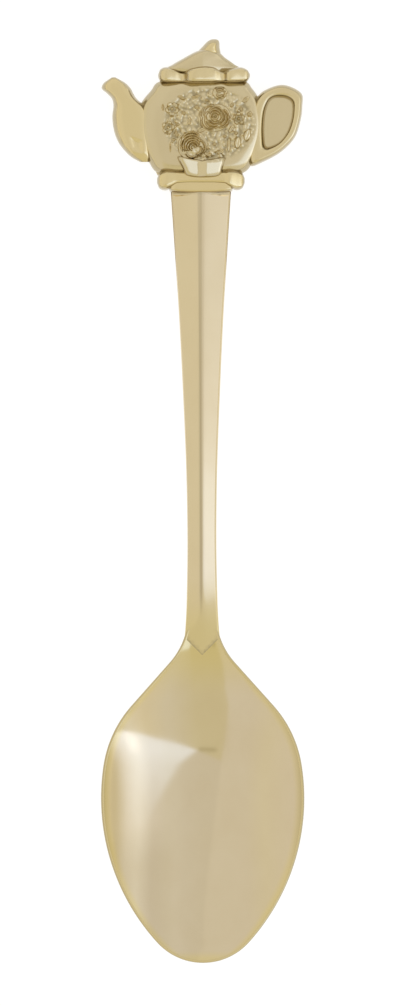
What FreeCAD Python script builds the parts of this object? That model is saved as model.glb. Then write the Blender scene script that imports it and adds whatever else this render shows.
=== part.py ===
import FreeCAD, Part

import math
import os

import Sketcher
from FreeCAD import Placement, Rotation, Vector

# A souvenir spoon lying on its back.  Millimetres, +Z up out of the bowl, +Y from
# the bowl's tip to the teapot finial, origin under the middle of the whole spoon.

DIMENSIONS = (
    # bowl
    ("tip_end", -60.0, "y of the bowl's tip"),
    ("bowl_half_width", 13.2, "half width of the bowl at its widest"),
    ("bowl_depth", 6.2, "outer depth of the bowl, table to rim"),
    ("bowl_wall", 0.9, "thickness of the bowl's sheet at the rim"),
    ("bowl_floor", 0.8, "thickness of the bowl's sheet at the bottom"),
    ("widest_y", -38.6, "y where the bowl is widest"),
    ("flank_radius", 27.9, "outline radius of the bowl's long flanks"),
    ("shoulder_start", -34.25, "y where flank runs into shoulder"),
    ("shoulder_radius", 15.0, "outline radius of the shoulders"),
    ("shoulder_slope", 41.7, "angle of the straight run to the axis, degrees"),
    ("throat_radius", 9.4, "hollow radius that leads into the stem"),
    ("throat_half_width", 2.0, "half width that the hollow radius runs to"),
    ("bowl_end", -17.6, "y where the bowl's outline ends under the stem"),
    ("tongue_half_width", 1.35, "half width of the bowl's brazed tongue"),
    ("tongue_end", -14.0, "y of the end of the tongue"),
    # stem
    ("lap_apex", -20.05, "y of the point of the stem's lap on the bowl"),
    ("lap_arms", -18.1, "y where the lap's point begins"),
    ("stem_end", 39.75, "y of the stem's shoulder at the finial"),
    ("eave_drop", 0.62, "height of the stem's ridge over its side edges"),
    ("tenon_half_width", 2.6, "half width of the stem's tenon"),
    ("tenon_height", 1.3, "height of the stem's tenon"),
    ("tenon_length", 1.0, "length of the stem's tenon"),
    ("tenon_foot", 0.75, "height of the tenon's underside over the table"),
    ("solder_gap", 0.15, "thickness of the solder joints"),
    ("tenon_gap", 0.08, "gap all round a tenon or tongue"),
    # finial, back to front
    ("plate_thickness", 1.1, "thickness of the finial's back plate"),
    ("pot_height", 4.2, "height of the teapot's belly over the table"),
    ("pot_edge", 2.3, "height of the belly at its outline"),
    ("panel_floor", 3.3, "height of the flat floor under the roses"),
    ("panel_half_width", 6.1, "half width of the rose panel"),
    ("panel_half_height", 4.6, "half height of the rose panel"),
    ("panel_y", 48.9, "y of the middle of the rose panel"),
    ("spout_height", 3.0, "height of the spout over the table"),
    ("handle_height", 2.9, "height of the teapot's handle over the table"),
    ("lid_height", 3.4, "height of the lid's dome over the table"),
    ("brim_height", 4.1, "height of the lid's scalloped brim"),
    ("knob_height", 2.8, "height of the lid's knob"),
    ("foot_height", 3.6, "height of the teapot's foot"),
    ("collar_height", 3.2, "height of the collar that holds the stem"),
    ("cup_height", 4.6, "height of the flower cup's front"),
    ("soft_edge", 0.35, "radius of the finial's soft edges"),
    # finial, outline
    ("collar_base", 39.9, "y of the collar's lower face"),
    ("collar_top", 41.1, "y of the collar's upper face"),
    ("collar_half_width", 4.05, "half width of the collar"),
    ("foot_top", 42.5, "y where foot meets belly"),
    ("foot_half_width", 5.6, "half width of the foot"),
    ("belly_top", 54.5, "y where belly meets brim"),
    ("belly_half_width", 8.2, "half width of the belly"),
    ("belly_y", 49.6, "y where the belly is widest"),
    ("belly_base_half", 5.1, "half width of the belly at the foot"),
    ("belly_top_half", 5.6, "half width of the belly at the brim"),
    ("brim_top", 56.3, "y where brim meets lid"),
    ("brim_half_width", 5.9, "half width of the brim"),
    ("lid_top", 58.1, "y where lid meets knob"),
    ("knob_top", 60.0, "y of the top of the knob"),
    # flowers
    ("petal_height", 0.62, "height of a rose's outer petals over the panel"),
    ("heart_height", 0.95, "height of a rose's heart over the panel"),
    ("leaf_height", 0.5, "height of a leaf over the panel"),
    ("bud_radius", 0.3, "radius of a bud at the panel"),
)

# stem stations: y, half width at the eaves, underside, ridge
STEM_STATIONS = (
    (-20.4, 3.60, 3.90, 6.15),
    (-18.1, 2.52, 4.40, 6.55),
    (-15.6, 2.16, 4.75, 7.05),
    (-12.0, 1.98, 4.95, 7.45),
    (-5.0, 1.94, 5.30, 7.90),
    (4.0, 2.10, 5.50, 8.00),
    (14.0, 2.50, 4.70, 7.05),
    (24.0, 3.02, 3.40, 5.65),
    (32.0, 3.50, 2.10, 4.30),
    (39.75, 3.93, 0.55, 2.75),
)

doc = FreeCAD.newDocument("souvenir_spoon")
sheet = doc.addObject("Spreadsheet::Sheet", "Sizes")
for row, (alias, value, note) in enumerate(DIMENSIONS, start=1):
    sheet.set(f"A{row}", alias)
    sheet.set(f"B{row}", str(value))
    sheet.set(f"C{row}", note)
    sheet.setAlias(f"B{row}", alias)
for row, values in enumerate(STEM_STATIONS, start=1):
    for column, name, value in zip("EFGH", ("y", "half", "under", "ridge"), values):
        sheet.set(f"{column}{row}", str(value))
        sheet.setAlias(f"{column}{row}", f"station_{name}_{row:02d}x")
doc.recompute()

ORIGIN_AXIS_Y = -2
ORIGIN_AXIS_X = -1
START = 1
END = 2
CENTRE = 3


def bound(expression):
    """The expression with each {name} written as its cell."""
    words = str(expression)
    return words.replace("{", "Sizes.").replace("}", "")


def bind(item, path, expression):
    item.setExpression(path, bound(expression))


def value_of(expression):
    return float(sheet.evalExpression(bound(expression)))


def new_body(label):
    body = doc.addObject("PartDesign::Body", label)
    body.Label = label
    return body


def sketch_on(body, name, plane="XY_Plane", height=None):
    """A sketch on one of the body's own planes, lifted by an expression."""
    sketch = body.newObject("Sketcher::SketchObject", name)
    support = next(item for item in body.Origin.OriginFeatures if item.Role == plane)
    sketch.AttachmentSupport = [(support, "")]
    sketch.MapMode = "FlatFace"
    if height is not None:
        bind(sketch, "AttachmentOffset.Base.z", height)
    return sketch


def pin(sketch, geometry, point, x, y):
    """Hold a point of the sketch at two expressions."""
    for kind, axis, expression in (("DistanceX", ORIGIN_AXIS_Y, x), ("DistanceY", ORIGIN_AXIS_X, y)):
        number = value_of(expression)
        if abs(number) < 1e-9:
            sketch.addConstraint(Sketcher.Constraint("PointOnObject", geometry, point, axis))
            continue
        index = sketch.addConstraint(Sketcher.Constraint(kind, geometry, point, number))
        bind(sketch, f"Constraints[{index}]", expression)


def draw(sketch, corners):
    """A closed outline.  A corner is (x, y), or (x, y, radius) where an arc leads to
    the next corner: to the left of the way for a positive radius, else to the right."""
    places = [Vector(value_of(corner[0]), value_of(corner[1]), 0) for corner in corners]
    ends = []
    for index, corner in enumerate(corners):
        here = places[index]
        there = places[(index + 1) % len(places)]
        if len(corner) == 2:
            geometry = sketch.addGeometry(Part.LineSegment(here, there))
            ends.append((geometry, START, END))
            continue
        radius = value_of(corner[2])
        chord = there - here
        side = Vector(-chord.y, chord.x, 0).normalize()
        reach = math.sqrt(radius * radius - chord.Length**2 / 4) * math.copysign(1, radius)
        middle = (here + there) * 0.5 + side * reach
        first, last = (here, there) if radius > 0 else (there, here)
        angles = [math.atan2(point.y - middle.y, point.x - middle.x) for point in (first, last)]
        circle = Part.Circle(middle, Vector(0, 0, 1), abs(radius))
        geometry = sketch.addGeometry(Part.ArcOfCircle(circle, *angles))
        ends.append((geometry, START, END) if radius > 0 else (geometry, END, START))
        index = sketch.addConstraint(Sketcher.Constraint("Radius", geometry, abs(radius)))
        bind(sketch, f"Constraints[{index}]", f"abs({corner[2]})")
    for index, (geometry, start, end) in enumerate(ends):
        following = ends[(index + 1) % len(ends)]
        sketch.addConstraint(Sketcher.Constraint("Coincident", geometry, end, following[0], following[1]))
        pin(sketch, geometry, start, corners[index][0], corners[index][1])
    return sketch


def disc(sketch, x, y, radius):
    """A full circle held at two expressions."""
    middle = Vector(value_of(x), value_of(y), 0)
    geometry = sketch.addGeometry(Part.Circle(middle, Vector(0, 0, 1), value_of(radius)))
    pin(sketch, geometry, CENTRE, x, y)
    index = sketch.addConstraint(Sketcher.Constraint("Radius", geometry, value_of(radius)))
    bind(sketch, f"Constraints[{index}]", radius)
    return sketch


def mirrored(half):
    """A symmetric outline from its right half, listed from bottom to top."""
    left = []
    for index in range(len(half) - 1, -1, -1):
        corner = half[index]
        arc = half[index - 1][2:] if index > 0 else ()
        left.append((f"-({corner[0]})", corner[1]) + arc)
    return list(half) + left


def pad(body, name, sketch, length):
    feature = body.newObject("PartDesign::Pad", name)
    feature.Profile = sketch
    bind(feature, "Length", length)
    return feature


def pocket(body, name, sketch, length=None):
    """Cut upwards out of the solid, right through when no length is given."""
    feature = body.newObject("PartDesign::Pocket", name)
    feature.Profile = sketch
    if length is None:
        feature.Type = "ThroughAll"
        feature.Midplane = True
        return feature
    feature.Reversed = True
    bind(feature, "Length", length)
    return feature


def soften(body, name, base, radius, wanted):
    """Round the edges of a feature that the wanted test picks."""
    doc.recompute()
    names = [f"Edge{index}" for index, edge in enumerate(base.Shape.Edges, start=1) if wanted(edge)]
    feature = body.newObject("PartDesign::Fillet", name)
    feature.Base = (base, names)
    bind(feature, "Radius", radius)
    return feature


def on_top(height):
    level = value_of(height)

    def wanted(edge):
        return edge.BoundBox.ZMin > level - 1e-4

    return wanted


def padded(label, corners, base, top, edge_radius=None):
    """A body that is one outline padded between two heights, with a soft front."""
    body = new_body(label)
    outline = draw(sketch_on(body, f"{label}_outline", height=base), corners)
    solid = pad(body, f"{label}_pad", outline, f"{top} - ({base})")
    if edge_radius is not None:
        soften(body, f"{label}_soft", solid, edge_radius, on_top(top))
    return body


def trimmed(label, base, tool):
    """What is left of a solid where another one stands."""
    cut = doc.addObject("Part::Cut", label)
    cut.Label = label
    cut.Base = base
    cut.Tool = tool
    return cut


# ---------------------------------------------------------------- bowl


def egg(name, inset_side, inset_depth, with_tongue):
    """The bowl's outline turned about its long axis and flattened to the bowl's depth.
    The inset makes the hollow's smaller shape, which runs to a point at the throat."""
    sketch = doc.addObject("Sketcher::SketchObject", f"{name}_outline")
    side = value_of(inset_side)
    tip = value_of("{tip_end}") + side
    widest = value_of("{widest_y}")
    width = value_of("{bowl_half_width}") - side
    flank = value_of("{flank_radius}") - side
    shoulder = value_of("{shoulder_radius}") - side
    slope = math.radians(value_of("{shoulder_slope}"))
    rise = (value_of("{shoulder_start}") - widest) / value_of("{flank_radius}")
    turn = math.asin(rise)
    flank_centre = Vector(width - flank, widest, 0)
    reach = widest - tip
    tip_radius = (flank**2 - (width - flank) ** 2 - reach**2) / (2 * (flank - reach))
    tip_centre = Vector(0, tip + tip_radius, 0)
    away = (tip_centre - flank_centre).normalize()
    tip_joint = flank_centre + away * flank
    shoulder_joint = flank_centre + Vector(math.cos(turn), math.sin(turn), 0) * flank
    shoulder_centre = flank_centre + Vector(math.cos(turn), math.sin(turn), 0) * (flank - shoulder)
    straight_start = shoulder_centre + Vector(math.cos(slope), math.sin(slope), 0) * shoulder
    normal = Vector(0, 0, 1)

    def arc(centre, radius, first, last):
        angles = [math.atan2(point.y - centre.y, point.x - centre.x) for point in (first, last)]
        return sketch.addGeometry(Part.ArcOfCircle(Part.Circle(centre, normal, radius), *angles))

    def hold(kind, *parts):
        return sketch.addConstraint(Sketcher.Constraint(kind, *parts))

    def measure(expression, kind, *parts):
        bind(sketch, f"Constraints[{hold(kind, *parts, value_of(expression))}]", expression)

    tip_arc = arc(tip_centre, tip_radius, Vector(0, tip, 0), tip_joint)
    flank_arc = arc(flank_centre, flank, tip_joint, shoulder_joint)
    shoulder_arc = arc(shoulder_centre, shoulder, shoulder_joint, straight_start)
    hold("Tangent", tip_arc, END, flank_arc, START)
    hold("Tangent", flank_arc, END, shoulder_arc, START)
    hold("PointOnObject", tip_arc, CENTRE, ORIGIN_AXIS_Y)
    hold("PointOnObject", tip_arc, START, ORIGIN_AXIS_Y)
    measure(f"{{tip_end}} + {inset_side}", "DistanceY", tip_arc, START)
    measure(f"{{flank_radius}} - {inset_side}", "Radius", flank_arc)
    measure("{bowl_half_width} - {flank_radius}", "DistanceX", flank_arc, CENTRE)
    measure("{widest_y}", "DistanceY", flank_arc, CENTRE)
    measure(f"{{shoulder_radius}} - {inset_side}", "Radius", shoulder_arc)
    joint_y = (
        f"{{widest_y}} + ({{flank_radius}} - {inset_side}) * "
        "({shoulder_start} - {widest_y}) / {flank_radius}"
    )
    measure(joint_y, "DistanceY", shoulder_arc, START)
    along = Vector(-math.sin(slope), math.cos(slope), 0)
    if with_tongue:
        bend = value_of("{throat_radius}")
        bend_x = value_of("{throat_half_width}") + bend
        tangent_x = bend_x - bend * math.cos(slope)
        run = (straight_start.x - tangent_x) / math.sin(slope)
        straight_end = straight_start + along * run
        bend_centre = straight_end + Vector(math.cos(slope), math.sin(slope), 0) * bend
        end_y = value_of("{bowl_end}")
        end_x = bend_centre.x - math.sqrt(bend**2 - (bend_centre.y - end_y) ** 2)
        throat_end = Vector(end_x, end_y, 0)
        tongue = value_of("{tongue_half_width}")
        tongue_end = value_of("{tongue_end}")
        straight = sketch.addGeometry(Part.LineSegment(straight_start, straight_end))
        throat = arc(bend_centre, bend, throat_end, straight_end)
        corners = (
            throat_end,
            Vector(tongue, end_y, 0),
            Vector(tongue, tongue_end, 0),
            Vector(0, tongue_end, 0),
            Vector(0, tip, 0),
        )
        lines = [
            sketch.addGeometry(Part.LineSegment(first, last))
            for first, last in zip(corners, corners[1:])
        ]
        hold("Tangent", shoulder_arc, END, straight, START)
        hold("Tangent", straight, END, throat, END)
        measure("{throat_radius}", "Radius", throat)
        measure("{throat_half_width} + {throat_radius}", "DistanceX", throat, CENTRE)
        hold("Coincident", throat, START, lines[0], START)
        measure("{bowl_end}", "DistanceY", throat, START)
        hold("Horizontal", lines[0])
        hold("Vertical", lines[1])
        measure("{tongue_half_width}", "DistanceX", lines[1], START)
        hold("Horizontal", lines[2])
        measure("{tongue_end}", "DistanceY", lines[2], START)
        for first, last in zip(lines, lines[1:]):
            hold("Coincident", first, END, last, START)
        hold("PointOnObject", lines[2], END, ORIGIN_AXIS_Y)
        hold("Coincident", lines[3], END, tip_arc, START)
    else:
        straight_end = straight_start + along * (straight_start.x / math.sin(slope))
        straight = sketch.addGeometry(Part.LineSegment(straight_start, straight_end))
        axis = sketch.addGeometry(Part.LineSegment(straight_end, Vector(0, tip, 0)))
        hold("Tangent", shoulder_arc, END, straight, START)
        hold("PointOnObject", straight, END, ORIGIN_AXIS_Y)
        hold("Coincident", straight, END, axis, START)
        hold("Coincident", axis, END, tip_arc, START)
    turned = doc.addObject("Part::Revolution", f"{name}_turned")
    turned.Source = sketch
    turned.Axis = Vector(0, 1, 0)
    turned.Angle = 360
    turned.Solid = True
    flat = doc.addObject("Part::Scale", f"{name}_flat")
    flat.Base = turned
    flat.Uniform = False
    bind(flat, "ZScale", f"({{bowl_depth}} - {inset_depth}) / ({{bowl_half_width}} - {inset_side})")
    bind(flat, "Placement.Base.z", "{bowl_depth}")
    return flat


outside = egg("bowl_outside", "0", "0", with_tongue=True)
inside = egg("bowl_inside", "{bowl_wall}", "{bowl_floor}", with_tongue=False)
shell = trimmed("bowl_shell", outside, inside)
above_rim = doc.addObject("Part::Box", "above_rim")
for path, expression in (
    ("Length", "4 * {bowl_half_width}"),
    ("Width", "{tongue_end} - {tip_end} + 20"),
    ("Height", "2 * {bowl_depth}"),
    ("Placement.Base.x", "-2 * {bowl_half_width}"),
    ("Placement.Base.y", "{tip_end} - 10"),
    ("Placement.Base.z", "{bowl_depth}"),
):
    bind(above_rim, path, expression)
bowl = trimmed("bowl", shell, above_rim)

# ---------------------------------------------------------------- stem


def stem_section(body, row):
    """The stem across its length: a flat back, upright edges and two facets that
    meet in a ridge."""
    y, half, under, ridge = (f"Sizes.station_{name}_{row:02d}x" for name in ("y", "half", "under", "ridge"))
    eaves = f"{ridge} - {{eave_drop}}"
    sketch = sketch_on(body, f"stem_section_{row:02d}", "XZ_Plane", f"-({y})")
    corners = [
        (f"-0.86 * {half}", under),
        (f"0.86 * {half}", under),
        (half, eaves),
        ("0", ridge),
        (f"-({half})", eaves),
    ]
    return draw(sketch, corners)


stem_body = new_body("stem_blank")
sections = [stem_section(stem_body, row) for row in range(1, len(STEM_STATIONS) + 1)]
loft = stem_body.newObject("PartDesign::AdditiveLoft", "stem_loft")
loft.Profile = sections[0]
loft.Sections = sections[1:]
loft.Ruled = False
lap = draw(
    sketch_on(stem_body, "lap_point"),
    [
        ("0", "{lap_apex}"),
        ("6", "{lap_apex} + 6"),
        ("6", "{lap_apex} - 4"),
        ("-6", "{lap_apex} - 4"),
        ("-6", "{lap_apex} + 6"),
    ],
)
pocket(stem_body, "lap_cut", lap)
tenon_top = "{tenon_foot} + {tenon_height}"
tenon = draw(
    sketch_on(stem_body, "stem_tenon", "XZ_Plane", "-{stem_end}"),
    [
        ("-{tenon_half_width}", "{tenon_foot}"),
        ("{tenon_half_width}", "{tenon_foot}"),
        ("{tenon_half_width}", tenon_top),
        ("-{tenon_half_width}", tenon_top),
    ],
)
tenon_pad = pad(stem_body, "stem_tenon_pad", tenon, "{tenon_length}")
tenon_pad.Reversed = True
stem = trimmed("stem", stem_body, bowl)

# ---------------------------------------------------------------- finial

# right half of each symmetric outline, from the bottom up
COLLAR = [("{collar_half_width}", "{collar_base}"), ("{collar_half_width}", "{collar_top}")]
FOOT = [
    ("{collar_half_width} + 0.1", "{collar_top}"),
    ("{collar_half_width} + 0.1", "{collar_base} + 0.5", "0.85"),
    ("{foot_half_width}", "{collar_top} + 0.1", "1.0"),
    ("{belly_base_half}", "{foot_top}"),
]
BELLY = [
    ("{belly_base_half}", "{foot_top}", "8.5"),
    ("{belly_half_width}", "{belly_y}", "6.6"),
    ("{belly_top_half}", "{belly_top}"),
]
LID = [
    ("{brim_half_width} - 1.3", "{brim_top}", "3.2"),
    ("1.9", "{lid_top}"),
]
PANEL = [
    ("{panel_half_width} - 2", "{panel_y} - {panel_half_height}", "5.1"),
    ("{panel_half_width} - 2", "{panel_y} + {panel_half_height}"),
]
CUP = [("2.05", "{foot_top} + 0.05"), ("3.15", "{panel_y} - {panel_half_height} + 0.3")]

# outlines with no symmetry, anticlockwise
BRIM = [
    ("-{brim_half_width}", "{belly_top}"),
    ("{brim_half_width}", "{belly_top}", "1.05"),
    ("{brim_half_width} - 1.0", "{brim_top}", "2.6"),
    ("2.4", "{brim_top} - 0.25", "3.8"),
    ("-2.4", "{brim_top} - 0.25", "2.6"),
    ("1.0 - {brim_half_width}", "{brim_top}", "1.05"),
]
KNOB = [
    ("-0.6", "{lid_top}"),
    ("2.4", "{lid_top}", "3.0"),
    ("2.2", "{knob_top} - 0.45", "0.8"),
    ("0.9", "{knob_top} - 0.2", "-2.4"),
]
SPOUT = [
    ("-6.6", "{foot_top} + 1.6", "-4.6"),
    ("-10.9", "47.4", "-5.2"),
    ("-11.2", "51.9", "3.4"),
    ("-12.6", "53.2", "-1.25"),
    ("-11.6", "{belly_top} + 0.6", "-3.6"),
    ("-9.0", "53.3", "5.0"),
    ("-8.2", "51.7"),
    ("-6.6", "51.0"),
]
HANDLE = [
    ("6.4", "{foot_top} + 1.0", "8.0"),
    ("10.6", "45.5", "6.5"),
    ("12.9", "50.7", "3.6"),
    ("12.9", "52.6", "1.6"),
    ("11.6", "53.7", "3.4"),
    ("9.0", "53.5", "4.5"),
    ("7.3", "52.5"),
    ("6.4", "52.0"),
]
HANDLE_EYE = [
    ("8.8", "46.6"),
    ("9.8", "46.4", "6.0"),
    ("11.8", "49.8", "2.8"),
    ("11.6", "51.8", "1.4"),
    ("9.3", "52.1"),
    ("8.7", "51.2"),
]
BACK = [
    ("-{foot_half_width} + 0.6", "{collar_top}"),
    ("{foot_half_width} - 0.6", "{collar_top}"),
    ("{belly_base_half}", "{foot_top}"),
    ("6.6", "{foot_top} + 1.2", "8.0"),
    ("10.4", "45.7", "6.5"),
    ("12.6", "50.7", "3.6"),
    ("12.6", "52.5", "1.6"),
    ("11.5", "53.4", "3.4"),
    ("9.0", "53.3"),
    ("7.7", "52.3"),
    ("{belly_top_half} - 0.3", "{belly_top}"),
    ("{brim_half_width} - 1.7", "{brim_top} - 0.5"),
    ("1.9", "{lid_top} - 0.2"),
    ("1.7", "{knob_top} - 0.8"),
    ("0.9", "{knob_top} - 0.8"),
    ("-0.3", "{lid_top} - 0.2"),
    ("-1.1", "{lid_top} - 0.3"),
    ("1.7 - {brim_half_width}", "{brim_top} - 0.5"),
    ("0.3 - {belly_top_half}", "{belly_top}"),
    ("-7.9", "51.5", "-4.6"),
    ("-9.2", "53.0"),
    ("-11.2", "54.4"),
    ("-11.8", "53.2"),
    ("-10.9", "51.7", "5.0"),
    ("-10.6", "47.6", "4.6"),
    ("-6.6", "{foot_top} + 1.8"),
]


def dome(label, outline, height, middle_y, reach_x, reach_y):
    """An outline under a flattened ball, so that it stands highest in the middle."""
    blank = padded(f"{label}_blank", outline, "{plate_thickness}", height)
    ball = doc.addObject("Part::Ellipsoid", f"{label}_ball")
    for path, expression in (
        ("Radius1", f"{height} - {{plate_thickness}}"),
        ("Radius2", reach_x),
        ("Radius3", reach_y),
        ("Placement.Base.y", middle_y),
        ("Placement.Base.z", "{plate_thickness}"),
    ):
        bind(ball, path, expression)
    common = doc.addObject("Part::Common", label)
    common.Label = label
    common.Base = blank
    common.Tool = ball
    return common


back_plate = padded("back_plate", BACK, "0", "{plate_thickness}")
belly = dome("belly", mirrored(BELLY), "{pot_height}", "48.5", "1.34 * {belly_half_width}", "9.5")
panel = padded("rose_panel", mirrored(PANEL), "{panel_floor}", "{pot_height} + 1")
pot_body = trimmed("pot_body", belly, panel)
spout_blank = padded("spout_blank", SPOUT, "{plate_thickness}", "{spout_height}", "{soft_edge}")
spout = trimmed("spout", spout_blank, belly)

handle_blank = padded("pot_handle_blank", HANDLE, "{plate_thickness}", "{handle_height}")
eye = draw(sketch_on(handle_blank, "handle_eye", height="{plate_thickness}"), HANDLE_EYE)
pocket(handle_blank, "handle_eye_cut", eye)
pot_handle = trimmed("pot_handle", handle_blank, belly)

lid = dome("lid", mirrored(LID), "{lid_height}", "{brim_top} - 0.4", "6.4", "3.4")
lid_brim = padded("lid_brim", BRIM, "{plate_thickness}", "{brim_height}", "{soft_edge}")
knob_blank = padded("knob_blank", KNOB, "{plate_thickness} - 0.3", "{knob_height}", "{soft_edge}")
lid_knob = trimmed("lid_knob", knob_blank, back_plate)
pot_foot = padded("pot_foot", mirrored(FOOT), "{plate_thickness}", "{foot_height}", "{soft_edge}")

foot_collar = padded("foot_collar", mirrored(COLLAR), "0", "{collar_height}", "{soft_edge}")
socket = draw(
    sketch_on(foot_collar, "stem_socket", "XZ_Plane", "-{collar_base}"),
    [
        ("-{tenon_half_width} - {tenon_gap}", "{tenon_foot} - {tenon_gap}"),
        ("{tenon_half_width} + {tenon_gap}", "{tenon_foot} - {tenon_gap}"),
        ("{tenon_half_width} + {tenon_gap}", f"{tenon_top} + {{tenon_gap}}"),
        ("-{tenon_half_width} - {tenon_gap}", f"{tenon_top} + {{tenon_gap}}"),
    ],
)
pocket(foot_collar, "stem_socket_cut", socket, "{tenon_length}")

cup_blank = padded("flower_cup_blank", mirrored(CUP), "{panel_floor} - 0.3", "{cup_height}", "{soft_edge}")
flower_cup = trimmed("flower_cup", cup_blank, pot_body)

# ---------------------------------------------------------------- flowers

# x and y of the middle, radius
ROSES = {
    "left_rose": (-1.3, 46.5, 1.6),
    "right_rose": (1.9, 49.6, 2.0),
    "upper_rose": (2.5, 52.85, 0.7),
    "side_rose": (4.95, 49.6, 0.85),
    "upper_left_rose": (-3.7, 50.9, 0.95),
    "lower_left_rose": (-4.2, 48.5, 0.9),
}
PETALS = 5


def rose(label, x, y, radius):
    """A rose seen from the front: a disc, five rounded outer petals and a heart."""
    body = new_body(label)
    body.Placement = Placement(Vector(x, y, value_of("{panel_floor}")), Rotation())
    base = disc(sketch_on(body, f"{label}_base"), "0", "0", f"{0.72 * radius}")
    pad(body, f"{label}_disc", base, "{petal_height} - 0.2")
    petal = disc(sketch_on(body, f"{label}_petal"), f"{0.55 * radius}", "0", f"{0.42 * radius}")
    petal_pad = pad(body, f"{label}_petal_pad", petal, "{petal_height}")
    doc.recompute()
    ring = body.newObject("PartDesign::PolarPattern", f"{label}_petals")
    ring.Originals = [petal_pad]
    turning_axis = next(item for item in body.Origin.OriginFeatures if item.Role == "Z_Axis")
    ring.Axis = (turning_axis, [""])
    ring.Angle = 360
    ring.Occurrences = PETALS
    body.Tip = ring
    heart = disc(sketch_on(body, f"{label}_heart"), "0", "0", f"{0.3 * radius}")
    heart_pad = pad(body, f"{label}_heart_pad", heart, "{heart_height}")
    soften(body, f"{label}_heart_soft", heart_pad, f"{0.1 * radius}", on_top("{heart_height}"))
    return body


roses = [rose(label, *place) for label, place in ROSES.items()]

# x and y of the middle, length, bow radius of its edges, turn in degrees
LEAVES = (
    (6.05, 47.5, 1.5, 0.85, 70),
    (4.8, 46.5, 1.4, 0.8, 80),
    (3.66, 46.2, 1.6, 1.35, 88),
    (-1.49, 49.35, 1.1, 0.8, 85),
    (-4.9, 51.1, 0.9, 0.65, 92),
    (-3.16, 47.7, 0.9, 0.6, 100),
    (4.0, 48.3, 1.1, 0.7, 60),
    (5.9, 52.1, 1.0, 0.65, 40),
    (-0.6, 52.5, 1.1, 0.7, 10),
    (0.9, 44.95, 1.0, 0.65, 150),
    (2.6, 45.3, 1.0, 0.65, 35),
    (-2.5, 52.4, 0.9, 0.6, 160),
    (-3.95, 45.9, 1.3, 1.4, 90),
    (0.2, 48.2, 1.0, 0.65, 25),
)


def leaf(index, x, y, length, bow, turn):
    """One pointed leaf between two arcs."""
    half = length / 2
    body = new_body(f"leaf_{index}")
    spot = Vector(x, y, value_of("{panel_floor}"))
    body.Placement = Placement(spot, Rotation(Vector(0, 0, 1), turn))
    shape = [(f"-{half}", "0", f"{bow}"), (f"{half}", "0", f"{bow}")]
    pad(body, f"leaf_{index}_pad", draw(sketch_on(body, f"leaf_{index}_outline"), shape), "{leaf_height}")
    return body


rose_leaves = doc.addObject("Part::Compound", "rose_leaves")
rose_leaves.Label = "rose_leaves"
rose_leaves.Links = [leaf(index, *place) for index, place in enumerate(LEAVES)]

# x and y of the middle
BUDS = (
    (-2.9, 49.2),
    (0.4, 46.6),
    (6.3, 50.6),
    (4.1, 51.4),
    (5.2, 51.0),
    (3.0, 47.2),
    (5.0, 48.1),
    (1.7, 46.4),
    (-3.6, 46.9),
    (-0.5, 51.2),
    (0.7, 52.0),
    (-2.2, 50.6),
)
rose_buds = doc.addObject("Part::Compound", "rose_buds")
rose_buds.Label = "rose_buds"
buds = []
for x, y in BUDS:
    bud = doc.addObject("Part::Cone", "bud")
    bind(bud, "Radius1", "{bud_radius}")
    bind(bud, "Radius2", "{bud_radius} / 2")
    bind(bud, "Height", "{petal_height}")
    bud.Placement = Placement(Vector(x, y, value_of("{panel_floor}")), Rotation())
    buds.append(bud)
rose_buds.Links = buds

# ---------------------------------------------------------------- solder

seam_body = new_body("finial_solder")
seam = sketch_on(seam_body, "seam_outline", "XZ_Plane", "-{collar_base}")
draw(seam, [("-3.75", "0.55"), ("3.75", "0.55"), ("3.75", "2.1"), ("0", "2.7"), ("-3.75", "2.1")])
draw(
    seam,
    [
        ("-{tenon_half_width} - {tenon_gap}", "{tenon_foot} - {tenon_gap}"),
        ("{tenon_half_width} + {tenon_gap}", "{tenon_foot} - {tenon_gap}"),
        ("{tenon_half_width} + {tenon_gap}", f"{tenon_top} + {{tenon_gap}}"),
        ("-{tenon_half_width} - {tenon_gap}", f"{tenon_top} + {{tenon_gap}}"),
    ],
)
pad(seam_body, "seam_pad", seam, "{collar_base} - {stem_end}")
finial_solder = seam_body

bead = doc.addObject("Part::Ellipsoid", "bead_blank")
for path, expression in (
    ("Radius1", "0.75"),
    ("Radius2", "1.5"),
    ("Radius3", "1.1"),
    ("Placement.Base.y", "{lap_apex} - 0.1"),
    ("Placement.Base.z", "4.3"),
):
    bind(bead, path, expression)
bowl_solder = trimmed("bowl_solder", trimmed("bead_off_bowl", bead, bowl), stem)

# ---------------------------------------------------------------- output

PIECES = {
    "bowl": bowl,
    "stem": stem,
    "bowl_solder": bowl_solder,
    "finial_solder": finial_solder,
    "back_plate": back_plate,
    "pot_body": pot_body,
    "spout": spout,
    "pot_handle": pot_handle,
    "lid": lid,
    "lid_brim": lid_brim,
    "lid_knob": lid_knob,
    "pot_foot": pot_foot,
    "foot_collar": foot_collar,
    "flower_cup": flower_cup,
    "rose_leaves": rose_leaves,
    "rose_buds": rose_buds,
}
PIECES.update({body.Label: body for body in roses})

doc.recompute()
for item in doc.Objects:
    if "Invalid" in item.State or "Error" in item.State:
        raise RuntimeError(f"{item.Label} did not build: {item.State}")
for name, item in PIECES.items():
    if item.Shape.isNull() or not item.Shape.isValid():
        raise RuntimeError(f"{name} has no sound shape")

os.makedirs("parts", exist_ok=True)
for name, item in PIECES.items():
    item.Shape.exportStep(os.path.join("parts", f"{name}.step"))
    box = item.Shape.optimalBoundingBox()
    print(
        f"{name:16s} solids {len(item.Shape.Solids)} volume {item.Shape.Volume:8.2f} "
        f"x {box.XMin:7.2f} {box.XMax:7.2f} y {box.YMin:7.2f} {box.YMax:7.2f} z {box.ZMin:6.2f} {box.ZMax:6.2f}"
    )
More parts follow.
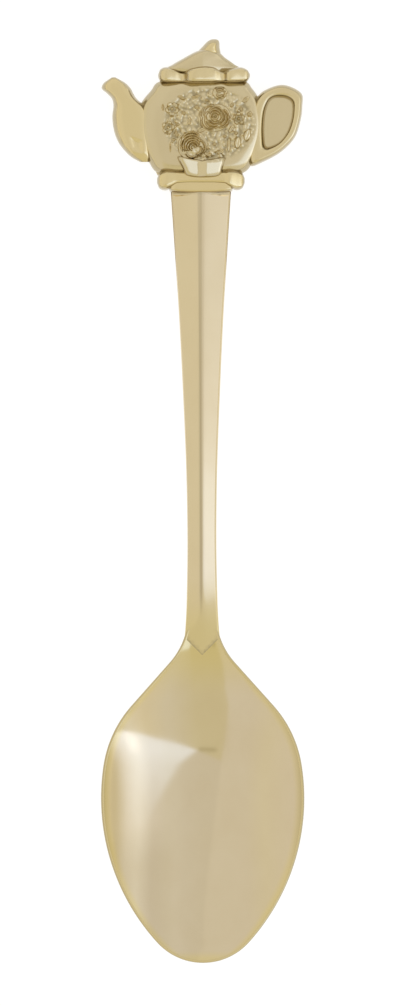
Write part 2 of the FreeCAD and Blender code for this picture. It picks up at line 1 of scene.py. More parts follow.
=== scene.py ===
import logging
import math
from bisect import bisect_right
from contextlib import contextmanager
from dataclasses import dataclass, field
from enum import Enum
from typing import Callable, ClassVar, Iterable, Iterator, Sequence

import bmesh
import bpy
from mathutils import Matrix, Vector


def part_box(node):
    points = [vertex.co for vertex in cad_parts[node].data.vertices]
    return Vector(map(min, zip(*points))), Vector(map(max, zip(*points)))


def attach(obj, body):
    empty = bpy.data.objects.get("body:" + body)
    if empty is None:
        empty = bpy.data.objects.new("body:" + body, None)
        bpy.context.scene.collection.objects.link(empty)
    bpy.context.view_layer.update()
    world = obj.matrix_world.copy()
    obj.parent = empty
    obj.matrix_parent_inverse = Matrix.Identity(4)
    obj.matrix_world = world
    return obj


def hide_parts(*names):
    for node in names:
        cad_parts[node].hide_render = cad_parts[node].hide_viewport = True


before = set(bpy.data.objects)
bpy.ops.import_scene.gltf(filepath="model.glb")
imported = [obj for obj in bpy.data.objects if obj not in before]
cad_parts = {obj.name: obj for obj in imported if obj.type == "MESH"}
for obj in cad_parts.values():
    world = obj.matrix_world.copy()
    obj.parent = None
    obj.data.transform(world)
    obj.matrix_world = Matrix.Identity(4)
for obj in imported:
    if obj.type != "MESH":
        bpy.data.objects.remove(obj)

MM = 0.001
ROOT = "root"
SINK = 0.02  # how far the teapot's pieces reach into its back plate, in millimetres
WELD = 0.0008  # distance at which points merge, in millimetres
MIDLINE = 1e-6  # a primitive's points higher than this belong to the piece's front
CREASE = math.radians(38)  # edges sharper than this stay crisp
# STEEP: upright share of a surface's direction where the painted side shade begins and where it is
# full
STEEP = (0.79, 0.70)  # upright share of a surface's direction where its side begins and is full
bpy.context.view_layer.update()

log = logging.getLogger("spoon")

Point = tuple[float, float]
Triple = tuple[float, float, float]
Colour = tuple[float, float, float, float]
Form = Callable[[Vector], Vector]
Field = Callable[[Vector], float]
Piece = bpy.types.Object
Finish = bpy.types.Material
Socket = bpy.types.NodeSocket


# ---- small sums


def blend(low: float, high: float, amount: float) -> float:
    """Return the value that lies the given part of the way from low to high."""
    return low + (high - low) * amount


def ease(low: float, high: float, value: float) -> float:
    """Rise smoothly from 0 to 1.

    Args:
        low: Value where the rise begins.
        high: Value where it ends.
        value: Value to look at.

    Returns:
        0 below low, 1 above high, and an S-shaped rise between.
    """
    amount = clamp((value - low) / (high - low))
    return amount * amount * (3.0 - 2.0 * amount)


def clamp(value: float, low: float = 0.0, high: float = 1.0) -> float:
    """Return the value, kept between low and high."""
    return min(high, max(low, value))


def hump(value: float, width: float) -> float:
    """Return 1 at value 0, falling off smoothly on both sides over the width."""
    return math.exp(-((value / width) ** 2))


def turn_of(spot: Vector) -> float:
    """Return the direction of a place from the middle, as a turn from 0 to 1."""
    return (math.atan2(spot.y, spot.x) / (2 * math.pi)) % 1.0


def pillow(reach: float, flatness: float) -> float:
    """Height of a cushion-shaped rise: 1 over the flat middle, 0 at reach 1."""
    return math.sqrt(max(0.0, 1.0 - min(1.0, abs(reach)) ** flatness))


class Track:
    """A smooth run of values through a few given stations."""

    def __init__(self, stations: Sequence[Sequence[float]]) -> None:
        """Keep the stations.

        Args:
            stations: Rows of place along the track, then one or more values.
        """
        self.stations = sorted(stations)

    def at(self, place: float) -> list[float]:
        """Read the track.

        Args:
            place: Place along the track.

        Returns:
            The values there, from a cubic through the nearest stations.
        """
        rows = self.stations
        if place <= rows[0][0]:
            return list(rows[0][1:])
        if place >= rows[-1][0]:
            return list(rows[-1][1:])
        index = max(i for i in range(len(rows) - 1) if rows[i][0] <= place)
        here, there = rows[index], rows[index + 1]
        before = rows[max(index - 1, 0)]
        after = rows[min(index + 2, len(rows) - 1)]
        step = there[0] - here[0]
        part = (place - here[0]) / step
        values = []
        for column in range(1, len(here)):
            start = (there[column] - before[column]) / (there[0] - before[0]) * step
            end = (after[column] - here[column]) / (after[0] - here[0]) * step
            values.append(
                (2 * part**3 - 3 * part**2 + 1) * here[column]
                + (part**3 - 2 * part**2 + part) * start
                + (3 * part**2 - 2 * part**3) * there[column]
                + (part**3 - part**2) * end
            )
        return values


class Outline:
    """A closed line in plan, walked anticlockwise by a turn from 0 to 1."""

    FINE = 12

    def __init__(self, points: Sequence[Point], smooth: bool = True) -> None:
        """Lay the line through its points.

        Args:
            points: Corners in millimetres, anticlockwise.
            smooth: True to run a curve through them, False for straight runs.
        """
        count = len(points)
        line = []
        for index in range(count):
            a, b, c, d = (Vector(points[(index + shift) % count]) for shift in (-1, 0, 1, 2))
            for part in (step / self.FINE for step in range(self.FINE)):
                if smooth:
                    bend = 2 * b + (c - a) * part
                    bend += (2 * a - 5 * b + 4 * c - d) * part**2
                    bend += (3 * b - a - 3 * c + d) * part**3
                    line.append(bend / 2)
                else:
                    line.append(b.lerp(c, part))
        self.line = line
        self.runs = [0.0]
        for here, there in zip(line, line[1:] + line[:1]):
            self.runs.append(self.runs[-1] + (there - here).length)

    def at(self, turn: float) -> Vector:
        """Return the point that lies the given part of the way round."""
        goal = (turn % 1.0) * self.runs[-1]
        low = min(bisect_right(self.runs, goal), len(self.line)) - 1
        part = (goal - self.runs[low]) / max(self.runs[low + 1] - self.runs[low], 1e-9)
        return self.line[low].lerp(self.line[(low + 1) % len(self.line)], part)

    def outward(self, turn: float) -> Vector:
        """Return the unit direction that points out of the line at a turn."""
        along = self.at(turn + 0.004) - self.at(turn - 0.004)
        return Vector((along.y, -along.x)).normalized()


# ---- bench work


class Bench:
    """The operators that every piece is made with."""

    def clear(self) -> None:
        """Leave nothing selected."""
        if bpy.context.object and bpy.context.object.mode != "OBJECT":
            bpy.ops.object.mode_set(mode="OBJECT")
        bpy.ops.object.select_all(action="DESELECT")

    def named(self, name: str) -> Piece:
        """Name the primitive that was just added and return it."""
        piece = bpy.context.object
        piece.name = name
        piece.data.name = name
        return piece

    def ball(self, name: str, segments: int, rings: int) -> Piece:
        """Add a unit ball."""
        self.clear()
        bpy.ops.mesh.primitive_uv_sphere_add(segments=segments, ring_count=rings, radius=1.0)
        return self.named(name)

    def bar(self, name: str, sides: int, cuts: int) -> Piece:
        """Add a bar of radius 1 from z 0 to z 1.

        Args:
            name: Name of the piece.
            sides: Number of points round it.
            cuts: Number of evenly spaced rings between its ends.

        Returns:
            The bar.
        """
        self.clear()
        bpy.ops.mesh.primitive_cylinder_add(
            vertices=sides, radius=1.0, depth=1.0, location=(0, 0, 0.5), end_fill_type="TRIFAN"
        )
        bpy.ops.object.transform_apply(location=True)
        piece = self.named(name)
        with self.editing(piece) as mesh:
            bpy.context.tool_settings.mesh_select_mode = (False, True, False)
            for edge in mesh.edges:
                first, last = (vertex.co for vertex in edge.verts)
                edge.select_set(abs(first.z - last.z) > 0.5)
            bpy.ops.mesh.subdivide(number_cuts=cuts)
        return piece

    def ring(self, name: str, around: int, across: int) -> Piece:
        """Add a torus of major radius 2 and minor radius 1 about Z."""
        self.clear()
        bpy.ops.mesh.primitive_torus_add(
            major_segments=around, minor_segments=across, major_radius=2.0, minor_radius=1.0
        )
        return self.named(name)

    @contextmanager
    def editing(self, piece: Piece) -> Iterator[bmesh.types.BMesh]:
        """Open a piece in edit mode with nothing selected.

        Args:
            piece: The piece to edit.

        Yields:
            The edit mesh, so that parts of it can be selected.
        """
        bpy.context.view_layer.objects.active = piece
        bpy.ops.object.mode_set(mode="EDIT")
        bpy.ops.mesh.select_all(action="DESELECT")
        yield bmesh.from_edit_mesh(piece.data)
        bpy.ops.object.mode_set(mode="OBJECT")

    def press(self, piece: Piece, form: Form) -> Piece:
        """Move every point to where the form puts it, then close and tidy the skin.

        Args:
            piece: A unit primitive.
            form: Gives a point of the primitive its place in millimetres.

        Returns:
            The piece, with points that fell together merged and its faces turned outwards.
        """
        for vertex in piece.data.vertices:
            vertex.co = form(vertex.co)
        piece.data.update()
        with self.editing(piece):
            bpy.ops.mesh.select_all(action="SELECT")
            bpy.ops.mesh.remove_doubles(threshold=WELD)
            bpy.ops.mesh.normals_make_consistent(inside=False)
        return piece

    def mark(self, piece: Piece, name: str, values: Iterable[float]) -> None:
        """Write a number on every point of a piece for its finish to read."""
        layer = piece.data.attributes.new(name, "FLOAT", "POINT")
        for entry, value in zip(layer.data, values):
            entry.value = value

    def cut(self, piece: Piece, point: Sequence[float], way: Sequence[float]) -> None:
        """Cut off what lies on the way's side of a plane, and close the cut."""
        with self.editing(piece):
            bpy.ops.mesh.select_all(action="SELECT")
            bpy.ops.mesh.bisect(plane_co=point, plane_no=way, use_fill=True, clear_outer=True)


@dataclass
class SubAssembly:
    """Pieces of the spoon that are made on one bench in one finish.

    Attributes:
        bench: The bench.
        finish: Their finish.
        slot: Name of their material slot; not used on the pieces.
        side: How much painted shade their steep sides get.
    """

    bench: Bench
    finish: Finish
    slot: str = ""
    side: float = 1.0

    def hand_over(self, piece: Piece, node: str, **marks: Field | float) -> None:
        """Bring a piece to metres, finish it and put it in the frame.

        Args:
            piece: The piece, modelled in millimetres.
            node: Name of the CAD node that it stands for.
            marks: Numbers that the finish reads, each the same all over or given by place.
        """
        points = piece.data.vertices
        for name, mark in marks.items():
            values = [mark(point.co) if callable(mark) else mark for point in points]
            self.bench.mark(piece, name, values)
        self.bench.clear()
        piece.select_set(True)
        bpy.context.view_layer.objects.active = piece
        piece.scale = (MM, MM, MM)
        bpy.ops.object.transform_apply(location=True, rotation=True, scale=True)
        bpy.ops.object.shade_smooth_by_angle(angle=CREASE)
        points = piece.data.vertices
        # painted shade down the steep sides, full where they would reflect the bright floor
        steep = [self.side * ease(*STEEP, abs(point.normal.z)) for point in points]
        self.bench.mark(piece, "side", steep)
        piece.data.materials.clear()
        piece.data.materials.append(self.finish)
        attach(piece, ROOT)
        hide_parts(node)
        low, high = (corner / MM for corner in piece_box(piece))
        log.info("%s: %d faces, y %.1f to %.1f, z %.2f to %.2f",
                 piece.name, len(piece.data.polygons), low.y, high.y, low.z, high.z)


def piece_box(piece: Piece) -> tuple[Vector, Vector]:
    """Return the lowest and highest corners of a piece."""
    spots = [vertex.co for vertex in piece.data.vertices]
    low = Vector(min(spot[axis] for spot in spots) for axis in range(3))
    high = Vector(max(spot[axis] for spot in spots) for axis in range(3))
    return low, high


def node_box(node: str) -> tuple[Vector, Vector]:
    """Return the lowest and highest corners of a CAD node, in millimetres."""
    low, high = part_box(node)
    return Vector(low) / MM, Vector(high) / MM


# ---- finishes


class Value:
    """A number in a finish's node tree, on which sums can be written."""

    def __init__(self, tree: "Recipe", socket: Socket) -> None:
        """Wrap a socket of the given tree."""
        self.tree = tree
        self.socket = socket

    def __add__(self, other: "Value | float") -> "Value":
        """Return this plus the other."""
        return self.tree.math("ADD", self, other)

    __radd__ = __add__

    def __mul__(self, other: "Value | float") -> "Value":
        """Return this times the other."""
        return self.tree.math("MULTIPLY", self, other)

    def __sub__(self, other: "Value | float") -> "Value":
        """Return this less the other."""
        return self.tree.math("SUBTRACT", self, other)

    def __rsub__(self, other: float) -> "Value":
        """Return the other less this."""
        return self.tree.math("SUBTRACT", other, self)


class Recipe:
    """The node tree of one finish or of the sky."""

    def __init__(self, owner: Finish | bpy.types.World) -> None:
        """Start an empty tree.

        Args:
            owner: The material or world that the tree belongs to.
        """
        self.owner = owner
        owner.use_nodes = True
        self.nodes = owner.node_tree.nodes
        self.links = owner.node_tree.links
        self.nodes.clear()

    def node(
        self, kind: str, settings: dict | None = None, inputs: dict | None = None
    ) -> bpy.types.Node:
        """Add one node and return it.

        Args:
            kind: Type of the node, such as ShaderNodeTexNoise.
            settings: Its own properties, set first.
            inputs: Value or link of each of its sockets, by name or number.
        """
        node = self.nodes.new(kind)
        for name, value in (settings or {}).items():
            setattr(node, name, value)
        for name, value in (inputs or {}).items():
            self.feed(node.inputs[name], value)
        return node

    def feed(self, socket: Socket, value: object) -> None:
        """Link or set one input."""
        if isinstance(value, Value):
            self.links.new(value.socket, socket)
        elif isinstance(value, Socket):
            self.links.new(value, socket)
        else:
            socket.default_value = value

    def math(self, operation: str, *terms: Value | float) -> Value:
        """Add a Math node on up to three terms."""
        node = self.node("ShaderNodeMath", {"operation": operation}, dict(enumerate(terms)))
        return Value(self, node.outputs[0])

    def place(self, scale: Sequence[float]) -> Socket:
        """Return object coordinates, stretched by the scale."""
        spot = self.node("ShaderNodeTexCoord").outputs["Object"]
        inputs = {"Vector": spot, "Scale": tuple(scale)}
        return self.node("ShaderNodeMapping", None, inputs).outputs["Vector"]

    def noise(self, scale: Sequence[float], detail: float, roughness: float = 0.5) -> Value:
        """Return a cloudy pattern from 0 to 1.

        Args:
            scale: Bumps to the metre along each axis.
            detail: Number of finer layers.
            roughness: Strength of the finer layers.
        """
        inputs = {"Vector": self.place(scale), "Scale": 1.0}
        inputs |= {"Detail": detail, "Roughness": roughness}
        node = self.node("ShaderNodeTexNoise", {"noise_dimensions": "3D"}, inputs)
        return Value(self, node.outputs["Fac"])

    def mark(self, name: str) -> Value:
        """Return the number that was written on the piece's points."""
        settings = {"attribute_name": name, "attribute_type": "GEOMETRY"}
        return Value(self, self.node("ShaderNodeAttribute", settings).outputs["Fac"])

    def mix(self, amount: Value, first: object, second: object) -> Socket:
        """Return a colour between two."""
        inputs = {0: amount, 6: first, 7: second}
        return self.node("ShaderNodeMix", {"data_type": "RGBA"}, inputs).outputs[2]

    def add(self, colour: object, extra: Sequence[float], amount: Value) -> Socket:
        """Return a colour with an extra colour added by an amount."""
        kind = "ShaderNodeVectorMath"
        scaled = self.node(kind, {"operation": "SCALE"}, {0: tuple(extra), "Scale": amount})
        return self.node(kind, {"operation": "ADD"}, {0: colour, 1: scaled.outputs[0]}).outputs[0]

    def spread(self, value: Value, low: float, high: float) -> Value:
        """Return the value clamped and stretched from the low-high range to 0-1."""
        node = self.node("ShaderNodeMapRange", {"clamp": True}, {0: value, 1: low, 2: high})
        return Value(self, node.outputs[0])

    def bump(self, height: Value, distance: float) -> Socket:
        """Return the normal of a surface raised by a height pattern, distance metres high."""
        inputs = {"Height": height, "Distance": distance}
        return self.node("ShaderNodeBump", None, inputs).outputs["Normal"]

    def close(self, shader: dict) -> Finish:
        """Add the surface shader and return the material."""
        principled = self.node("ShaderNodeBsdfPrincipled", None, shader)
        output = self.node("ShaderNodeOutputMaterial")
        self.links.new(principled.outputs[0], output.inputs[0])
        return self.owner

    def cells(self, scale: float) -> Value:
        """Return a pattern of small rounded cells, 0 in their middles."""
        inputs = {"Vector": self.place((1.0, 1.0, 1.0)), "Scale": scale}
        node = self.node("ShaderNodeTexVoronoi", {"feature": "SMOOTH_F1"}, inputs)
        return Value(self, node.outputs["Distance"])


@dataclass(frozen=True)
class GoldPlate:
    """Pale gold plate over polished metal.

    Attributes:
        name: Name of the finish.
        colour: Colour of the plate.
        painted_shade_colour: Colour of the painted shade in hollows, between petals, along the
            stem's ridge and at the bowl's edge.
        painted_side_shade_colour: Colour of the painted shade down the steep sides.
        painted_warm_reflection_colour: Yellower tint painted in as a reflection of gold in gold.
        roughness: Gloss of the clean plate.
        haze: Roughness that handling adds in patches.
        polish, clouds, ripple: Polishing marks, patches of handling and slow waves of the
            buff, to the metre along each axis.
        stipple: Cells to the metre in the ground of the relief.
        polish_depth, ripple_depth, stipple_depth: Depths in metres.
        tarnish: Share of the colour that is left in the patches.
    """

    name: str
    colour: Colour = (0.90, 0.77, 0.535, 1.0)
    painted_shade_colour: Colour = (0.47, 0.39, 0.22, 1.0)
    painted_side_shade_colour: Colour = (0.50, 0.42, 0.26, 1.0)
    painted_warm_reflection_colour: Colour = (0.92, 0.765, 0.37, 1.0)
    roughness: float = 0.10
    haze: float = 0.05
    polish: Triple = (2600.0, 260.0, 2600.0)
    polish_depth: float = 0.0000012
    clouds: Triple = (260.0, 180.0, 260.0)
    ripple: Triple = (120.0, 70.0, 120.0)
    tarnish: Colour = (0.975, 0.965, 0.94, 1.0)
    ripple_depth: float = 0.00002
    stipple: float = 2200.0
    stipple_depth: float = 0.00030

    def material(self) -> Finish:
        """Mix the finish."""
        recipe = Recipe(bpy.data.materials.new(self.name))
        clouds = recipe.noise(self.clouds, 3.0)
        marks = recipe.noise(self.polish, 4.0, 0.65)
        ripple = recipe.noise(self.ripple, 1.0)
        hollow = recipe.mark("hollow")
        relief = recipe.mark("relief")
        stipple = recipe.cells(self.stipple)
        toned = recipe.mix(
            recipe.spread(clouds, 0.3, 0.7),
            self.colour,
            tuple(channel * shade for channel, shade in zip(self.colour, self.tarnish)),
        )
        # painted shade: the hollow mark and the stipple's pits on the relief darken the plate
        # towards the shade colour
        painted_shade = hollow + relief * recipe.spread(stipple, 0.30, 0.62) * 0.85
        # painted warm tint that stands in for gold reflected in gold
        warm_reflection_tinted = recipe.mix(recipe.mark("warm"), toned, self.painted_warm_reflection_colour)
        # painted shade down the steep sides
        side_shaded = recipe.mix(recipe.mark("side"), warm_reflection_tinted, self.painted_side_shade_colour)
        base = recipe.mix(painted_shade, side_shaded, self.painted_shade_colour)
        gloss = self.roughness + recipe.spread(clouds, 0.35, 0.75) * self.haze + hollow * 0.12
        height = marks * (self.polish_depth / self.ripple_depth) + ripple
        height = height - stipple * relief * (self.stipple_depth / self.ripple_depth)
        normal = recipe.bump(height, self.ripple_depth)
        return recipe.close(
            {"Base Color": base, "Metallic": 1.0, "Roughness": gloss, "Normal": normal}
        )


@dataclass(frozen=True)
class PaleFloor:
    """Plain white studio floor, lit a little from inside so that it stays even."""

    name: str = "pale_floor"
    colour: Colour = (0.25, 0.25, 0.25, 1.0)
    glow: float = 0.88

    def material(self) -> Finish:
        """Mix the finish."""
        recipe = Recipe(bpy.data.materials.new(self.name))
        roughness = 0.75 + recipe.noise((40.0, 40.0, 40.0), 2.0) * 0.1
        return recipe.close(
            {
                "Base Color": self.colour,
                "Roughness": roughness,
                "Emission Color": (1.0, 1.0, 1.0, 1.0),
                "Emission Strength": self.glow,
            }
        )


# ---- bowl


@dataclass
class Bowl(SubAssembly):
    """The pressed bowl, rim and tongue.  Sizes are in millimetres.

    Attributes:
        half_width, widest: Half width of the bowl at its widest, and the place of that.
        tip, shoulder, throat_end: Places of the tip, of the flank's end and of the outline's end.
        flank_radius, shoulder_radius: Outline radii of the long flanks and the shoulders.
        slope: Angle of the straight run to the spoon's axis, in degrees.
        throat_radius, throat_half: Hollow radius into the stem, and half width that it ends at.
        rim: Width of the rounded rim.
        lip_drop: Drop from the rim's crest to the edge of the hollow.
        edge_radius: Drop from the rim's crest to the start of the back.
        floor: Thickness of the bottom.
        rim_lift: Rise of the rim at tip and throat over its middle.
        throat_rise: Further rise of the throat, up to the stem.
        band: Share of the ball, from pole to pole, on each side of the rim's crest.
        segments, rings: Points round the bowl, and rings from the hollow's middle to the back's.
    """

    slot: str = "polished_bowl"
    half_width: float = 13.2
    tip: float = -60.0
    widest: float = -38.6
    shoulder: float = -34.25
    throat_end: float = -16.0
    flank_radius: float = 27.9
    shoulder_radius: float = 15.0
    slope: float = 41.7
    throat_radius: float = 9.4
    throat_half: float = 1.85
    rim: float = 0.36
    lip_drop: float = 0.04
    edge_radius: float = 0.40
    floor: float = 0.8
    rim_lift: float = 0.2
    throat_rise: float = 0.8
    band: float = 0.035
    segments: int = 240
    rings: int = 180

    def half_at(self, y: float) -> float:
        """Return the half width at a place along the spoon.

        The outline runs from the tip's arc over the flank, the shoulder and a straight
        run to the hollow throat.
        """
        flank_x = self.half_width - self.flank_radius
        reach = self.widest - self.tip
        tip_radius = self.flank_radius**2 - flank_x**2 - reach**2
        tip_radius /= 2 * (self.flank_radius - reach)
        away = math.atan2(self.tip + tip_radius - self.widest, -flank_x)
        turn = math.asin((self.shoulder - self.widest) / self.flank_radius)
        slope = math.radians(self.slope)
        back = self.flank_radius - self.shoulder_radius
        shoulder_x = flank_x + back * math.cos(turn)
        shoulder_y = self.widest + back * math.sin(turn)
        straight_x = shoulder_x + self.shoulder_radius * math.cos(slope)
        straight_y = shoulder_y + self.shoulder_radius * math.sin(slope)
        hollow_x = self.throat_half + self.throat_radius
        bend_x = hollow_x - self.throat_radius * math.cos(slope)
        bend_y = straight_y + (straight_x - bend_x) / math.tan(slope)
        hollow_y = bend_y + self.throat_radius * math.sin(slope)
        if y <= self.tip:
            return 0.0
        if y < self.widest + self.flank_radius * math.sin(away):
            return math.sqrt(max(0.0, tip_radius**2 - (y - self.tip - tip_radius) ** 2))
        if y < self.shoulder:
            return flank_x + math.sqrt(self.flank_radius**2 - (y - self.widest) ** 2)
        if y < straight_y:
            return shoulder_x + math.sqrt(self.shoulder_radius**2 - (y - shoulder_y) ** 2)
        if y < bend_y:
            return straight_x - (y - straight_y) * math.tan(slope)
        if y < hollow_y:
            return hollow_x - math.sqrt(self.throat_radius**2 - (hollow_y - y) ** 2)
        return self.throat_half

    def outline(self) -> Outline:
        """Lay the bowl's outline, anticlockwise from the tip, with a rounded throat."""
        steps = 110
        side = []
        for step in range(1, steps):
            part = 0.5 - 0.5 * math.cos(math.pi * step / steps)
            y = blend(self.tip, self.throat_end, part)
            close = max(0.0, (y - self.throat_end + 1.0) / 1.0)
            side.append((self.half_at(y) * math.sqrt(1.0 - close**2), y))
        side.append((0.0, self.throat_end))
        mirrored = [(-x, y) for x, y in reversed(side[:-1])]
        return Outline([(0.0, self.tip)] + side + mirrored, smooth=False)

    def depth_share(self, spot: Vector) -> float:
        """Depth at a place in plan, as a share of the greatest depth."""
        half = self.half_at(spot.y)
        return clamp((half**2 - spot.x**2) / self.half_width**2)

    def build(self) -> None:
        """Press a ball into the bowl: its upper half is the hollow, its lower half
        the back, and the band between them the rounded rim."""
        low, high = node_box("bowl")
        outline = self.outline()
        middle = Vector((0.0, self.widest))
        half, band = self.rim / 2, self.band

        def rim_height(y: float) -> float:
            """Height of the rim's crest along the spoon."""
            return high.z + self.rim_lift * (((y - self.widest) / 21.0) ** 2 - 1.0)

        def throat(y: float) -> float:
            """Rise of the throat along the spoon."""
            return self.throat_rise * ease(-24.5, -16.5, y)

        def form(spot: Vector) -> Vector:
            """Place one point of the ball."""
            fall = math.acos(clamp(spot.z, -1.0)) / math.pi
            turn = (turn_of(spot) + 0.25) % 1.0
            rim = outline.at(turn)
            out = outline.outward(turn)
            crest = rim_height(rim.y)
            if abs(fall - 0.5) < band:
                swing = (fall - 0.5 + band) / (2 * band) * math.pi
                plan = rim - out * (half + half * math.cos(swing))
                drop = self.lip_drop if swing < math.pi / 2 else self.edge_radius
                height = crest - drop * (1.0 - math.sin(swing))
                return Vector((plan.x, plan.y, height + throat(plan.y)))
            inside = fall < 0.5
            share = (fall if inside else 1.0 - fall) / (0.5 - band)
            reach = math.sin(share * math.pi / 2)
            edge = rim - out * self.rim if inside else rim
            start = crest - (self.lip_drop if inside else self.edge_radius)
            plan = middle + (edge - middle) * reach
            bottom = low.z + self.floor if inside else low.z
            deep = rim_height(self.widest) - bottom
            deep -= self.lip_drop if inside else self.edge_radius
            drop = deep * (self.depth_share(plan) - self.depth_share(edge) * reach**6)
            lift = start - (bottom + deep)
            height = bottom + deep + lift * reach**2 - drop
            return Vector((plan.x, plan.y, height + throat(plan.y)))

        def warm(spot: Vector) -> float:
            """Painted reflection: how much warmer the plate is tinted along the rim and in the
            throat, standing in for gold reflected in gold.
            """
            side = self.half_at(spot.y) - abs(spot.x)
            from_tip = spot.y - self.tip
            near_rim = max(ease(1.5, 0.4, side), ease(1.7, 0.5, from_tip))
            return max(0.75 * near_rim, 0.8 * ease(-26.0, -19.0, spot.y))

        def edge(spot: Vector) -> float:
            """Painted shade: how much darker the very edge is made."""
            return 0.75 * ease(0.24, 0.08, self.half_at(spot.y) - abs(spot.x))

        ball = self.bench.ball("spoon_bowl", self.segments, self.rings)
        self.hand_over(self.bench.press(ball, form), "bowl", warm=warm, hollow=edge)


# ---- stem


@dataclass
class Stem(SubAssembly):
    """The ridged stem, pointed where it laps over the bowl.

    Attributes:
        stations: Place along the spoon, half width, underside, ridge height, slope of
            the two front facets and roundness of the ridge between them.
        apex: Place of the lap's point.
        edge, edge_width: Height and width of the rounded edge beside each facet.
        wall: Share of the bar's half width that the facets take.
        sides, cuts: Points round the stem, and rings along it.
    """

    slot: str = "polished_stem"
    # strength of the painted side shade on the stem
    side: float = 0.5
    stations: tuple[tuple[float, ...], ...] = (
        (-20.4, 3.42, 4.10, 6.60, 0.06, 0.90),
        (-18.1, 2.40, 4.50, 6.95, 0.10, 0.80),
        (-15.6, 2.12, 4.80, 7.25, 0.22, 0.45),
        (-12.0, 1.98, 4.95, 7.50, 0.42, 0.12),
        (-5.0, 1.88, 5.30, 7.90, 0.49, 0.08),
        (4.0, 2.01, 5.50, 8.00, 0.50, 0.07),
        (14.0, 2.40, 4.70, 7.05, 0.50, 0.06),
        (24.0, 2.88, 3.40, 5.65, 0.50, 0.05),
        (32.0, 3.38, 2.10, 4.30, 0.49, 0.05),
        (40.3, 3.92, 0.60, 2.95, 0.48, 0.05),
    )
    apex: float = -20.05
    edge: float = 0.22
    edge_width: float = 0.25
    wall: float = 0.93
    sides: int = 96
    cuts: int = 320

    def front(self, across: float, half: float, slope: float, roundness: float) -> float:
        """Fall of the front below the ridge.

        Args:
            across: Place across the stem, from -1 to 1.
            half: Half width there.
            slope: Slope of the facets.
            roundness: Radius of the ridge as a share of the half width.

        Returns:
            The fall in millimetres.
        """
        roof = math.hypot(across, roundness) - roundness
        rest = clamp(1.0 - (1.0 - abs(across)) * half / self.edge_width)
        return slope * half * roof + self.edge * (1.0 - math.sqrt(1.0 - rest**2))

    def build(self) -> None:
        """Draw a bar out to the stem and cut its point."""
        track = Track(self.stations)
        first, last = self.stations[0][0], self.stations[-1][0]
        wall = self.wall
        lean = math.sqrt(1.0 - wall**2)

        def form(spot: Vector) -> Vector:
            """Place one point of the bar."""
            y = blend(first, last, spot.z)
            half, under, ridge, slope, roundness = track.at(y)
            reach = math.hypot(spot.x, spot.y)
            if reach < 0.5:
                return Vector((0.0, y, (under + ridge) / 2))
            across = clamp(spot.x / reach / wall, -1.0)
            top = ridge - self.front(across, half, slope, roundness)
            rest = clamp((abs(across) - 0.75) / 0.25)
            base = under + 0.35 * across**2 + 0.2 * (1.0 - math.sqrt(1.0 - rest**2))
            share = float(spot.y > 0)
            if abs(spot.x / reach) > wall:
                share = (spot.y / reach / lean + 1.0) / 2
            return Vector((across * half, y, blend(base, top, share)))

        piece = self.bench.press(self.bench.bar("ridged_stem", self.sides, self.cuts), form)
        for side in (1.0, -1.0):
            self.bench.cut(piece, (0.0, self.apex, 0.0), (side, -1.0, 0.0))

        def toned(spot: Vector) -> float:
            """Painted shade: how much darker the plate is made along the ridge and at the lap."""
            crest = 0.65 * hump(spot.x + 0.13, 0.17) * ease(-15.5, -11.5, spot.y)
            point = 0.4 * ease(0.60, 0.05, spot.y - self.apex - abs(spot.x))
            return max(crest, point)

        def warm(spot: Vector) -> float:
            """Painted reflection: how much warmer the plate is tinted towards the bowl."""
            return 0.9 * ease(-9.0, -17.0, spot.y)

        self.hand_over(piece, "stem", hollow=toned, warm=warm)


# ---- teapot

BELLY = (
    (5.1, 42.45), (6.9, 44.2), (8.0, 46.8), (8.3, 49.4), (7.8, 51.8), (6.7, 53.6), (5.4, 54.6),
    (0.0, 54.8), (-5.1, 54.6), (-6.5, 53.3), (-7.8, 51.6), (-8.2, 49.4), (-7.9, 46.8), (-6.8, 44.1),
    (-5.1, 42.45), (0.0, 42.3),
)
SPOUT = (
    (44.05, -7.9, -6.6, 2.2), (44.6, -8.9, -6.4, 2.6), (45.3, -9.7, -6.4, 2.9),
    (46.6, -10.7, -6.4, 3.0), (48.2, -11.3, -6.4, 3.0), (50.0, -11.5, -6.4, 3.0),
    (51.4, -11.35, -7.3, 3.0), (52.3, -11.55, -8.3, 3.0), (53.0, -12.2, -8.75, 2.95),
    (53.6, -12.85, -9.05, 2.9), (54.3, -12.65, -9.7, 2.75), (54.8, -12.0, -10.5, 2.5),
    (55.05, -11.6, -11.0, 2.2),
)
HANDLE = (
    (6.4, 43.5), (8.3, 44.1), (10.5, 45.35), (12.25, 47.2), (13.05, 49.6), (13.25, 51.4),
    (13.25, 52.7), (12.4, 53.5), (10.8, 54.05), (9.2, 53.75), (7.6, 52.8), (6.6, 50.9),
    (6.2, 48.0), (6.1, 45.4),
)
HANDLE_EYE = (
    (8.5, 46.1), (9.4, 46.2), (10.4, 46.8), (11.2, 47.9), (11.7, 49.3), (11.9, 50.7), (11.8, 51.7),
    (11.2, 52.2), (10.3, 52.35), (9.5, 52.25), (8.9, 51.7), (8.5, 50.6), (8.3, 49.0), (8.3, 47.4),
)
LID = (
    (-4.7, 55.9), (0.2, 55.3), (5.1, 55.9), (4.3, 56.8), (3.2, 57.6), (2.3, 58.4), (1.0, 58.8),
    (-0.6, 58.4), (-2.3, 57.5), (-3.7, 56.7),
)
